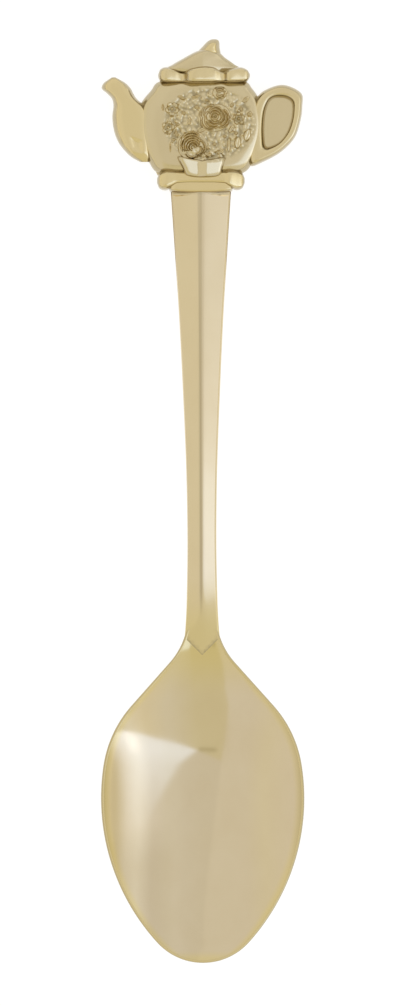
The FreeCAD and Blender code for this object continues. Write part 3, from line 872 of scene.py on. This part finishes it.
BRIM = (
    (-5.5, 55.0, 55.5, 2.6), (-5.25, 54.5, 56.1, 3.4), (-4.5, 54.25, 56.4, 3.75),
    (-3.4, 54.2, 56.2, 3.5), (-2.35, 54.25, 55.75, 3.2), (-1.3, 54.15, 56.25, 4.15),
    (0.4, 54.1, 56.6, 4.05), (1.8, 54.15, 56.4, 3.75), (2.85, 54.25, 55.8, 3.3),
    (3.7, 54.2, 56.1, 3.95), (5.2, 54.25, 56.35, 3.55), (6.1, 54.5, 56.0, 3.2),
    (6.4, 55.0, 55.5, 2.6),
)
KNOB = (
    (-0.5, 58.0), (1.0, 57.6), (2.5, 57.9), (2.5, 58.9), (2.4, 59.8), (1.8, 60.03), (1.1, 59.85),
    (0.4, 59.2),
)
FOOT = (
    (-5.68, 41.2, 42.0, 2.6), (-5.4, 40.6, 42.6, 3.3), (-4.6, 40.35, 43.0, 3.6),
    (-3.9, 40.6, 43.0, 3.55), (-3.1, 41.05, 42.9, 3.45), (0.0, 41.15, 42.9, 3.45),
    (3.1, 41.05, 42.9, 3.5), (3.7, 40.7, 43.0, 3.65), (4.6, 40.35, 43.0, 3.25),
    (5.4, 40.6, 42.6, 2.85), (5.68, 41.2, 42.0, 2.5),
)
COLLAR = (  # place, lower edge, upper edge and drop from its full height
    (-4.1, 40.3, 42.1, 0.5), (-3.8, 40.1, 42.2, 0.1), (-2.0, 39.93, 42.2, 0.0),
    (0.0, 39.88, 42.2, 0.0), (2.0, 39.93, 42.2, 0.0), (3.8, 40.1, 42.2, 0.1),
    (4.1, 40.3, 42.1, 0.5),
)
CUP = (
    (-1.75, 42.2), (0.3, 41.95), (2.35, 42.2), (2.9, 43.3), (3.2, 44.3), (3.05, 44.62), (2.0, 44.5),
    (0.9, 44.35), (0.2, 44.2), (-0.4, 44.35), (-1.6, 44.5), (-2.95, 44.75), (-3.0, 44.3),
    (-2.4, 43.2),
)


class Run(Enum):
    """Which way a drawn piece of the teapot runs."""

    UPWARDS = "y"
    ACROSS = "x"


@dataclass
class Teapot(SubAssembly):
    """The cast teapot at the spoon's end, piece by piece, on its back plate.

    Attributes:
        belly_top: Height of the middle of the belly's front.
    """

    slot: str = "cast_finial"
    belly_top: float = 3.5

    def __post_init__(self) -> None:
        """Read the height of the back plate's face, and set the backs a little inside it."""
        self.plate = node_box("back_plate")[1].z
        self.back = self.plate - SINK

    def sides(self, spot: Vector) -> float:
        """Painted shade: how much darker the gold is made low down the sides of a piece, near the
        back plate.
        """
        return 0.35 * ease(2.6, 1.8, spot.z)

    def ground(self, spot: Vector) -> float:
        """1 on the belly's stippled ground behind the flowers, 0 elsewhere."""
        # the relief mark raises the stipple's bump and also paints shade into its pits
        across, up = (spot.x - 1.1) / 6.3, (spot.y - 48.9) / 5.1
        return ease(1.0, 0.86, math.hypot(across, up)) * ease(3.0, 3.1, spot.z)

    def lens(
        self, name: str, node: str, points: Sequence[Point],
        front: Callable[[Vector, float], float], back: float, detail: tuple[int, int],
        warm: float = 0.0,
    ) -> None:
        """Press a ball into a flat-backed piece of a given outline.

        Args:
            name: Name of the piece.
            node: CAD node that it stands for.
            points: Its outline in plan.
            front: Height of its front over a place, given how far out that place is.
            back: Height of its flat back.
            detail: Points round it and rings.
            warm: How much painted warm reflection tint its plate gets.
        """
        outline = Outline(points)
        spots = [outline.at(step / 48) for step in range(48)]
        middle = sum(spots, Vector((0.0, 0.0))) / len(spots)

        def form(spot: Vector) -> Vector:
            """Place one point of the ball."""
            reach = math.sin(math.acos(clamp(spot.z, -1.0)))
            plan = middle + (outline.at(turn_of(spot)) - middle) * reach
            height = front(plan, reach) if spot.z > MIDLINE else back
            return Vector((plan.x, plan.y, max(height, back)))

        piece = self.bench.press(self.bench.ball(name, *detail), form)
        self.hand_over(piece, node, hollow=self.sides, relief=self.ground, warm=warm)

    def drawn(
        self, name: str, node: str, run: Run, stations: Sequence[Sequence[float]], back: float,
        flatness: float, extra: Field = lambda spot: 0.0, detail: tuple[int, int] = (56, 70),
        crown: float = 0.0, warm: float = 0.8,
    ) -> None:
        """Draw a bar into a flat-backed piece between two edges.

        Args:
            name: Name of the piece.
            node: CAD node that it stands for.
            run: Which way it runs.
            stations: Place along it, its two edges and the height of its front.
            back: Height of its flat back.
            flatness: How flat its front is, from 2 for round.
            extra: Height added to a place on the front.
            detail: Points round it and rings.
            crown: Share of the height that the front's middle stands over its sides.
            warm: How much painted warm reflection tint its plate gets.
        """
        track = Track(stations)
        first, last = stations[0][0], stations[-1][0]

        def form(spot: Vector) -> Vector:
            """Place one point of the bar."""
            along = blend(first, last, 0.5 - 0.5 * math.cos(math.pi * spot.z))
            low, high, height = track.at(along)
            reach = math.hypot(spot.x, spot.y)
            share = spot.x / reach if reach > 0.5 else 0.0
            side = blend(low, high, (share + 1.0) / 2)
            plan = Vector((side, along, back) if run is Run.UPWARDS else (along, side, back))
            if spot.y > MIDLINE and reach > 0.5:
                rise = (height - back) * pillow(share, flatness) * (1.0 - crown * share**2)
                plan.z = max(back, back + rise + extra(plan))
            return plan

        piece = self.bench.press(self.bench.bar(name, *detail), form)
        self.hand_over(piece, node, hollow=self.sides, warm=warm)

    def belly(self) -> None:
        """Press the belly: nearly flat in front, rolled over at its sides."""

        def front(plan: Vector, reach: float) -> float:
            """Height of the belly."""
            dome = 1.0 - 0.16 * (plan.x / 8.2) ** 2 - 0.14 * ((plan.y - 48.5) / 6.0) ** 2
            return self.plate + (self.belly_top - self.plate) * dome * pillow(reach, 14.0)

        self.lens("teapot_belly", "pot_body", BELLY, front, self.back, (192, 110))

    def spout(self) -> None:
        """Draw the spout, with the flat web between it and the belly."""

        def web(plan: Vector) -> float:
            """Shallow three-cornered hollow between the spout and the belly."""
            left = plan.x + 9.6 - 0.35 * (47.7 - plan.y)
            below = plan.y - 45.1 + 0.4 * (plan.x + 7.6)
            above = 47.7 - plan.y - 0.4 * (plan.x + 9.6)
            return -0.24 * ease(0.0, 0.6, min(left, below, above, -7.4 - plan.x))

        self.drawn(
            "teapot_spout", "spout", Run.UPWARDS, SPOUT, self.back, 5.0, extra=web, detail=(72, 96)
        )

    def handle(self) -> None:
        """Bend a ring into the teapot's handle."""
        height = node_box("pot_handle")[1].z - self.plate
        outer, eye = Outline(HANDLE), Outline(HANDLE_EYE)

        def form(spot: Vector) -> Vector:
            """Place one point of the ring."""
            across = math.hypot(spot.x, spot.y) - 2.0
            turn = turn_of(spot)
            plan = eye.at(turn).lerp(outer.at(turn), (across + 1.0) / 2)
            rise = height * pillow(across, 4.5) * (1.0 - 0.10 * across**2)
            return Vector((plan.x, plan.y, self.plate + rise if spot.z > MIDLINE else self.back))

        piece = self.bench.press(self.bench.ring("teapot_handle", 120, 40), form)
        self.hand_over(piece, "pot_handle", hollow=self.sides, warm=0.4)

    def lid(self) -> None:
        """Build the lid's dome, its scalloped brim and its leaning knob."""
        dome = node_box("lid")[1].z - self.plate
        knob = node_box("lid_knob")[1].z - self.plate

        def dome_front(plan: Vector, reach: float) -> float:
            """Height of the dome, which leans to the right."""
            lean = 0.12 * reach**2 + 0.13 * max(0.0, plan.x - 0.3)
            return self.plate + dome * pillow(reach, 11.0) * (1.0 - lean)

        def knob_front(plan: Vector, reach: float) -> float:
            """Height of the knob."""
            return self.plate + knob * pillow(reach, 2.4)

        self.lens("teapot_lid", "lid", LID, dome_front, self.back, (96, 56))
        self.drawn(
            "scalloped_brim", "lid_brim", Run.ACROSS, BRIM, self.back, 7.0,
            detail=(56, 110), crown=0.075, warm=0.5,
        )
        back = self.plate - 0.3
        self.lens("lid_knob_fin", "lid_knob", KNOB, knob_front, back, (72, 40), warm=0.8)

    def foot(self) -> None:
        """Build the lobed foot and the collar under it."""
        self.drawn(
            "lobed_foot", "pot_foot", Run.ACROSS, FOOT, self.back, 8.0, detail=(56, 90), crown=0.08
        )
        height = node_box("foot_collar")[1].z
        collar = [(place, low, high, height - drop) for place, low, high, drop in COLLAR]
        self.drawn("stem_collar", "foot_collar", Run.ACROSS, collar, 0.0, 9.0)

    def cup(self) -> None:
        """Make the flared cup with its flat facets, which stands on the belly."""

        def front(plan: Vector, reach: float) -> float:
            """Height of the facets."""
            up = (plan.y - 42.2) / 2.4
            between = clamp((plan.x + 0.35) / 1.05)
            lean = blend(0.20 * (plan.x + 1.5), 0.20 * (plan.x - 1.8), between)
            return 3.25 + (0.80 + 0.55 * up - lean) * pillow(reach, 12.0)

        self.lens("flower_cup_facets", "flower_cup", CUP, front, 3.2, (112, 72))

    def build(self) -> None:
        """Build every piece of the teapot."""
        for make in (self.belly, self.spout, self.handle, self.lid, self.foot):
            make()


# ---- flowers


@dataclass(frozen=True)
class Petal:
    """One curled petal: its distance from the heart and the turn that it covers."""

    radius: float
    start: float
    end: float
    rise: float = 1.0

    def lip(self, reach: float, turn: float) -> float:
        """Return the height of the petal's lip at a place.

        Args:
            reach: Distance from the heart in millimetres.
            turn: Direction from the heart in degrees.

        Returns:
            1 on the lip, falling steeply outside and gently inside.
        """
        middle, half = (self.start + self.end) / 2, (self.end - self.start) / 2
        off = abs((turn - middle + 180.0) % 360.0 - 180.0)
        drawn_in = self.radius * (1.0 - 0.16 * min(1.0, off / half) ** 2)
        width = 0.075 if reach > drawn_in else 0.17
        return self.rise * hump(reach - drawn_in, width) * ease(half + 8.0, half - 14.0, off)


@dataclass(frozen=True)
class Rose:
    """One rose of nested petals.

    Attributes:
        node: CAD node that it stands for.
        heart: Its heart in plan.
        edge: Distance of its edge from the heart at even steps of direction.
        petals: Its petals.
        height: Height of the tallest lips.
        shade: How dark it is between them.
    """

    node: str
    heart: Point
    edge: tuple[float, ...]
    petals: tuple[Petal, ...]
    height: float = 1.0
    shade: float = 0.25
    stipple: ClassVar[float] = 0.3
    detail: ClassVar[tuple[int, int]] = (150, 104)

    def reach_at(self, turn: float) -> float:
        """Return the distance of the edge in a direction."""
        steps = len(self.edge)
        place = (turn % 360.0) / 360.0 * steps
        first = int(place) % steps
        part = ease(0.0, 1.0, place - int(place))
        return blend(self.edge[first], self.edge[(first + 1) % steps], part)

    def lips(self, reach: float, turn: float) -> float:
        """Return the height of the highest lip at a place."""
        return max(petal.lip(reach, turn) for petal in self.petals)

    def front(self, reach: float, turn: float) -> float:
        """Return the height of the rose over the belly."""
        bowl = 0.52 + 0.14 * math.cos(math.pi * min(1.0, reach / self.reach_at(turn)))
        return self.height * (bowl + 0.36 * self.lips(reach, turn))

    def hollow(self, spot: Vector) -> float:
        """Return the painted shade at a point between the lips."""
        x, y = spot.x - self.heart[0], spot.y - self.heart[1]
        reach = math.hypot(x, y)
        lips = self.lips(reach, math.degrees(math.atan2(y, x)))
        near = ease(0.02, 0.20, lips) * ease(0.55, 0.25, lips)
        return self.shade * (near + 0.8 * ease(0.5, 0.0, reach) * (1.0 - lips))


@dataclass(frozen=True)
class Blossom:
    """One small open blossom of five petals round an eye."""

    node: str
    heart: Point
    size: float
    turned: float
    stipple: ClassVar[float] = 0.4
    detail: ClassVar[tuple[int, int]] = (80, 48)

    def split(self, turn: float) -> float:
        """Return 1 in the middle of a petal and 0 between two."""
        return abs(math.cos(math.radians((turn - self.turned) * 2.5)))

    def reach_at(self, turn: float) -> float:
        """Return the distance of the scalloped edge."""
        return self.size * (0.80 + 0.20 * self.split(turn))

    def front(self, reach: float, turn: float) -> float:
        """Return the height of the cupped petals and the eye."""
        share = reach / self.size
        return 0.42 + 0.30 * ease(0.25, 0.8, share) * self.split(turn) + 0.28 * hump(share, 0.22)

    def hollow(self, spot: Vector) -> float:
        """Return the painted shade at a point between the eye and the petals."""
        share = math.hypot(spot.x - self.heart[0], spot.y - self.heart[1]) / self.size
        return 0.6 * ease(0.15, 0.3, share) * ease(0.7, 0.4, share)


@dataclass(frozen=True)
class Leaf:
    """One leaf or bud: its place, half length, half width and turn in degrees."""

    x: float
    y: float
    length: float
    width: float
    turned: float

    def reach_at(self, turn: float) -> float:
        """Return the distance of the rounded, pointed edge."""
        way = math.radians(turn - self.turned)
        along, across = abs(math.cos(way)) / self.length, abs(math.sin(way)) / self.width
        return 1.0 / (along**1.5 + across**1.5) ** (1 / 1.5)

    def fold(self, reach: float, turn: float) -> float:
        """Return the share of the full height that the folded leaf has at a place."""
        across = reach * math.sin(math.radians(turn - self.turned)) / self.width
        return 0.62 + 0.38 * math.cos(math.pi * 0.5 * across) - 0.18 * hump(across, 0.2)


def petals(*rows: Sequence[float]) -> tuple[Petal, ...]:
    """Return petals made from rows of distance, first and last direction, and rise."""
    return tuple(Petal(*row) for row in rows)


FLOWERS = (
    Rose(
        "left_rose", (-0.98, 45.85),
        (1.95, 2.05, 2.25, 2.3, 2.2, 2.15, 2.0, 1.95, 1.75, 1.45, 1.3, 1.6),
        petals(
            (0.42, 0, 250), (0.78, 10, 215), (1.10, 25, 205), (1.42, 38, 200), (1.76, 50, 195),
            (2.08, 62, 150, 0.9), (1.12, -70, 12), (1.62, -48, 48, 1.15), (1.3, 215, 285, 0.7),
        ),
        shade=0.5,
    ),
    Rose(
        "right_rose", (1.89, 49.85),
        (2.1, 2.0, 1.85, 1.7, 1.75, 2.0, 2.3, 2.3, 2.1, 1.95, 1.95, 2.05),
        petals(
            (0.32, -170, 170), (0.66, 25, 200), (0.98, 40, 150), (1.34, 30, 130, 0.9),
            (0.95, -60, 30), (1.35, -62, 45, 1.1), (1.78, -70, 40, 1.1), (0.80, 215, 310),
            (1.15, 205, 300), (1.55, 190, 290, 0.9), (2.05, 180, 262, 0.9), (1.30, 140, 220, 0.8),
            (1.70, 95, 175, 0.8), (2.08, 120, 190, 0.7),
        ),
    ),
    Rose(
        "upper_rose", (2.5, 52.95), (1.0, 0.95, 0.85, 0.95, 1.0, 0.9, 0.75, 0.9),
        petals(
            (0.25, 20, 170), (0.5, 30, 160), (0.78, 40, 140), (0.75, -50, 25, 1.1), (0.5, 200, 330)
        ),
        0.9,
    ),
    Blossom("side_rose", (4.95, 49.6), 0.85, 20.0),
    Blossom("upper_left_rose", (-3.7, 50.9), 0.95, 50.0),
    Blossom("lower_left_rose", (-4.2, 48.5), 0.9, 5.0),
)
LEAVES = (
    (6.05, 47.5, 0.85, 0.52, 70), (4.8, 46.5, 0.8, 0.5, 80), (3.66, 46.2, 1.0, 0.3, 88),
    (-1.49, 49.35, 0.6, 0.26, 85), (-4.9, 51.1, 0.5, 0.22, 92), (-3.16, 47.7, 0.55, 0.26, 100),
    (4.0, 48.3, 0.65, 0.32, 60), (5.9, 52.1, 0.6, 0.32, 40), (-0.6, 52.5, 0.65, 0.28, 10),
    (0.9, 44.95, 0.6, 0.3, 150), (2.6, 45.3, 0.6, 0.3, 35), (-2.5, 52.4, 0.55, 0.26, 160),
    (-3.95, 45.9, 0.75, 0.16, 90), (0.2, 48.2, 0.7, 0.36, 25),
)
BUDS = (
    (-3.0, 48.9, 0.3, 0.28, 0), (0.35, 45.7, 0.28, 0.26, 0), (6.4, 50.2, 0.38, 0.36, 0),
    (4.1, 51.4, 0.34, 0.3, 90), (5.2, 50.9, 0.34, 0.3, 90), (3.1, 47.3, 0.3, 0.28, 0),
    (4.6, 47.7, 0.3, 0.28, 0), (1.8, 46.3, 0.32, 0.3, 0), (-3.5, 46.9, 0.3, 0.26, 0),
    (-0.5, 51.1, 0.36, 0.34, 0), (0.8, 52.0, 0.3, 0.26, 0), (-2.2, 50.4, 0.32, 0.3, 0),
)


@dataclass
class Bouquet(SubAssembly):
    """The relief of roses, blossoms and leaves, and the cup that holds them.

    Attributes:
        belly: Height of the belly under the flowers.
        rounding: Width over which their edges round down to it.
    """

    slot: str = "cast_flowers"
    # strength of the painted side shade on the flowers
    side: float = 0.45
    belly: float = 3.2
    rounding: float = 0.16

    def relief(
        self, name: str, middle: Point, edge: Callable[[float], float],
        front: Callable[[float, float], float], detail: tuple[int, int],
    ) -> Piece:
        """Press a ball into a low relief that stands on the belly.

        Args:
            name: Name of the piece.
            middle: Its heart in plan.
            edge: Distance of its edge from the heart, by direction in degrees.
            front: Height over the belly, by distance from the heart and direction.
            detail: Points round it and rings.

        Returns:
            The piece.
        """

        def form(spot: Vector) -> Vector:
            """Place one point of the ball."""
            way = math.atan2(spot.y, spot.x)
            turn = math.degrees(way)
            share = math.acos(clamp(abs(spot.z))) / (math.pi / 2)
            reach = share * edge(turn)
            side = min(1.0, (1.0 - share) * edge(turn) / self.rounding)
            height = 0.0
            if spot.z > MIDLINE:
                height = front(reach, turn) * math.sqrt(1.0 - (1.0 - side) ** 2)
            x, y = middle[0] + reach * math.cos(way), middle[1] + reach * math.sin(way)
            return Vector((x, y, self.belly + height))

        return self.bench.press(self.bench.ball(name, *detail), form)

    def flower(self, flower: Rose | Blossom) -> None:
        """Make one rose or blossom."""
        name = f"{flower.node}_relief"
        piece = self.relief(name, flower.heart, flower.reach_at, flower.front, flower.detail)
        self.hand_over(piece, flower.node, hollow=flower.hollow, relief=flower.stipple)

    def spray(self, node: str, rows: Sequence[Sequence[float]], height: float) -> None:
        """Make a spray of small leaves or buds and join it.

        Args:
            node: CAD node that the spray stands for.
            rows: Place, half length, half width and turn of each one.
            height: Height over the belly.
        """
        made = []
        for index, leaf in enumerate(Leaf(*row) for row in rows):

            def front(reach: float, turn: float, leaf: Leaf = leaf) -> float:
                """Height of the folded leaf."""
                return height * leaf.fold(reach, turn)

            name = f"{node}_{index}"
            made.append(self.relief(name, (leaf.x, leaf.y), leaf.reach_at, front, (40, 28)))

        def hollow(spot: Vector) -> float:
            """Painted shade: how much darker the gold is made at the foot of a leaf."""
            return 0.3 * ease(self.belly + 0.35 * height, self.belly, spot.z)

        self.bench.clear()
        for piece in made:
            piece.select_set(True)
        bpy.context.view_layer.objects.active = made[0]
        bpy.ops.object.join()
        whole = self.bench.named(f"{node}_relief")
        self.hand_over(whole, node, hollow=hollow, relief=0.25)

    def build(self) -> None:
        """Make the cup and everything in it."""
        Teapot(self.bench, self.finish, self.slot).cup()
        for flower in FLOWERS:
            self.flower(flower)
        self.spray("rose_leaves", LEAVES, 0.62)
        self.spray("rose_buds", BUDS, 0.72)


# ---- studio


@dataclass
class Studio:
    """Floor, soft light and camera.

    Attributes:
        sight: Point on the spoon that the camera looks straight down on.
        view_height: Height of the view at the spoon in metres.
        distance: Height of the camera over the spoon.
        tilt: Turn of the camera about its sight line in degrees.
        floor_size: Width of the floor.
        sky: Brightness of the sky from the left horizon to the right one.
        window: Brightness that the large window adds.
        strip_away, strip_lean: Distance of the strip light, and its lean to the right in degrees.
        strip_spread, strip_glow: Its width and length in degrees, and its brightness.
    """

    sight: Vector = field(default_factory=lambda: Vector((0.00061, -0.00031, 0.004)))
    view_height: float = 0.13065
    distance: float = 2.0
    tilt: float = -0.17
    floor_size: float = 8.0
    sky: tuple[tuple[float, Triple], ...] = (
        (-1.0, (0.645, 0.615, 0.57)), (-0.78, (0.645, 0.618, 0.525)), (-0.6, (0.63, 0.605, 0.56)),
        (0.0, (0.635, 0.615, 0.575)), (0.25, (0.65, 0.635, 0.61)), (0.5, (0.68, 0.67, 0.65)),
        (0.67, (0.71, 0.70, 0.71)), (0.8, (0.87, 0.885, 0.93)), (0.89, (0.80, 0.795, 0.80)),
        (0.95, (0.64, 0.60, 0.47)), (1.0, (0.60, 0.56, 0.43)),
    )
    window: Triple = (0.22, 0.32, 0.58)
    strip_away: float = 1.4
    strip_lean: float = 82.0
    strip_spread: Point = (12.0, 80.0)
    strip_glow: float = 0.10

    def floor(self) -> None:
        """Lay the pale floor."""
        bench = Bench()
        bench.clear()
        bpy.ops.mesh.primitive_plane_add(size=self.floor_size, location=(0.0, 0.0, -SINK * MM))
        floor = bench.named("studio_floor")
        floor.data.materials.append(PaleFloor().material())

    def heavens(self) -> bpy.types.World:
        """Mix the sky: dim overhead, brighter to the right, with one large window."""
        world = bpy.data.worlds.new("soft_studio")
        recipe = Recipe(world)
        spot = recipe.node("ShaderNodeTexCoord").outputs["Generated"]
        parts = recipe.node("ShaderNodeSeparateXYZ", None, {0: spot}).outputs
        x, y, z = (Value(recipe, parts[axis]) for axis in range(3))
        ramp = recipe.node("ShaderNodeValToRGB", None, {0: x * 0.5 + 0.5})
        stops = ramp.color_ramp.elements
        while len(stops) < len(self.sky):
            stops.new(0.5)
        for stop, (place, colour) in zip(stops, self.sky):
            stop.position = place * 0.5 + 0.5
            stop.color = (*colour, 1.0)

        def rises(value: Value, low: float, high: float) -> Value:
            """Return 0 below low and 1 above high."""
            return recipe.spread(value, low, high)

        def near(value: Value, full: float, none: float) -> Value:
            """Return 1 up to the full distance from 0, and 0 from the other distance on."""
            return 1 - recipe.spread(recipe.math("ABSOLUTE", value), full, none)

        # flat cuts through the eye: the window's sill, its left post and the wall's edge
        sill = x * 0.343 + y * 0.858 + z * 0.379 + rises(x, 0.6, 0.95) * 0.07
        over_sill = rises(sill, -0.012, 0.012)
        under_sill = 1 - over_sill
        in_frame = rises(x * 0.524 - y * 0.749 - z * 0.405, -0.03, 0.03)
        wall = rises(x * -0.946 + y * 0.247 - z * 0.212, -0.01, 0.01)
        # the window's light falls off to the far right and towards the finial
        share = (1 - rises(x, 0.84, 0.95)) * (1 - rises(y, -0.40, 0.18))
        pane = near(x - 0.80, 0.015, 0.06) * near(y + 0.43, 0.02, 0.12)
        shelf = near(x + 0.08, 0.10, 0.15) * near(y + x * 0.05 + 0.44, 0.010, 0.030)
        tints = (
            (self.window, over_sill * in_frame * share),
            ((0.22, 0.22, 0.28), over_sill * pane),
            # warmer, then darker, below the sill on the right
            ((0.0, -0.02, -0.13), under_sill * rises(x, 0.45, 0.65)),
            ((-0.20, -0.20, -0.16), under_sill * rises(x, 0.70, 0.90)),
            # dim corner behind the finial, and the pale wall on the left
            ((-0.11, -0.12, -0.16), rises(x, 0.40, 0.75) * rises(y, 0.14, 0.34)),
            ((0.040, 0.042, 0.045), wall),
            # warm floor in front, with the dark line of a shelf over it
            ((-0.01, -0.02, -0.11), under_sill * (1 - wall) * (1 - rises(x, 0.1, 0.6))),
            ((-0.17, -0.17, -0.17), shelf),
        )
        colour = ramp.outputs[0]
        for tint, amount in tints:
            colour = recipe.add(colour, tint, amount)
        background = recipe.node("ShaderNodeBackground", None, {"Color": colour})
        output = recipe.node("ShaderNodeOutputWorld")
        recipe.links.new(background.outputs[0], output.inputs[0])
        return world

    def strip(self) -> None:
        """Hang the soft strip light on the right, facing the spoon."""
        way = Vector((math.tan(math.radians(self.strip_lean)), 0.0, 1.0)).normalized()
        along = way.cross(Vector((1.0, 0.0, 0.0))).normalized()
        lamp = bpy.data.lights.new("right_strip", "AREA")
        lamp.shape = "RECTANGLE"
        width, length = (
            2 * self.strip_away * math.tan(math.radians(angle / 2)) for angle in self.strip_spread
        )
        lamp.size, lamp.size_y = width, length
        lamp.energy = self.strip_glow * math.pi * width * length
        holder = bpy.data.objects.new("right_strip", lamp)
        bpy.context.collection.objects.link(holder)
        holder.location = way * self.strip_away
        holder.rotation_euler = Matrix((along.cross(way), along, way)).transposed().to_euler()
        holder.visible_camera = False

    def camera(self) -> Piece:
        """Set up the camera straight over the spoon and return it."""
        data = bpy.data.cameras.new("view_camera")
        data.sensor_fit = "VERTICAL"
        data.sensor_height = 36.0
        data.lens = data.sensor_height * self.distance / self.view_height
        data.clip_end = 20.0
        camera = bpy.data.objects.new("view_camera", data)
        bpy.context.collection.objects.link(camera)
        camera.location = self.sight + Vector((0.0, 0.0, self.distance))
        camera.rotation_euler = (0.0, 0.0, math.radians(self.tilt))
        return camera

    def build(self) -> None:
        """Set up the studio."""
        scene = bpy.context.scene
        self.floor()
        scene.world = self.heavens()
        self.strip()
        scene.view_settings.view_transform = "Standard"
        scene.view_settings.look = "None"
        scene.camera = self.camera()


def main() -> None:
    """Build the spoon piece by piece, then the studio."""
    logging.basicConfig(level=logging.INFO, format="%(name)s: %(message)s")
    bench = Bench()
    bowl_gold = GoldPlate("bowl_gold").material()
    stem_gold = GoldPlate("stem_gold", (0.955, 0.815, 0.555, 1.0), roughness=0.12).material()
    cast_gold = GoldPlate(
        "cast_gold", (0.89, 0.76, 0.475, 1.0), painted_warm_reflection_colour=(1.0, 0.825, 0.44, 1.0),
        roughness=0.15, ripple_depth=0.00003,
    ).material()
    Bowl(bench, bowl_gold).build()
    Stem(bench, stem_gold).build()
    Teapot(bench, cast_gold).build()
    Bouquet(bench, cast_gold).build()
    for node in ("bowl_solder", "finial_solder", "back_plate"):
        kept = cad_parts[node]
        kept.data.materials.clear()
        kept.data.materials.append(cast_gold)
        log.info("%s: kept from the frame with its new finish", node)
    Studio().build()


if __name__ == "__main__":
    main()
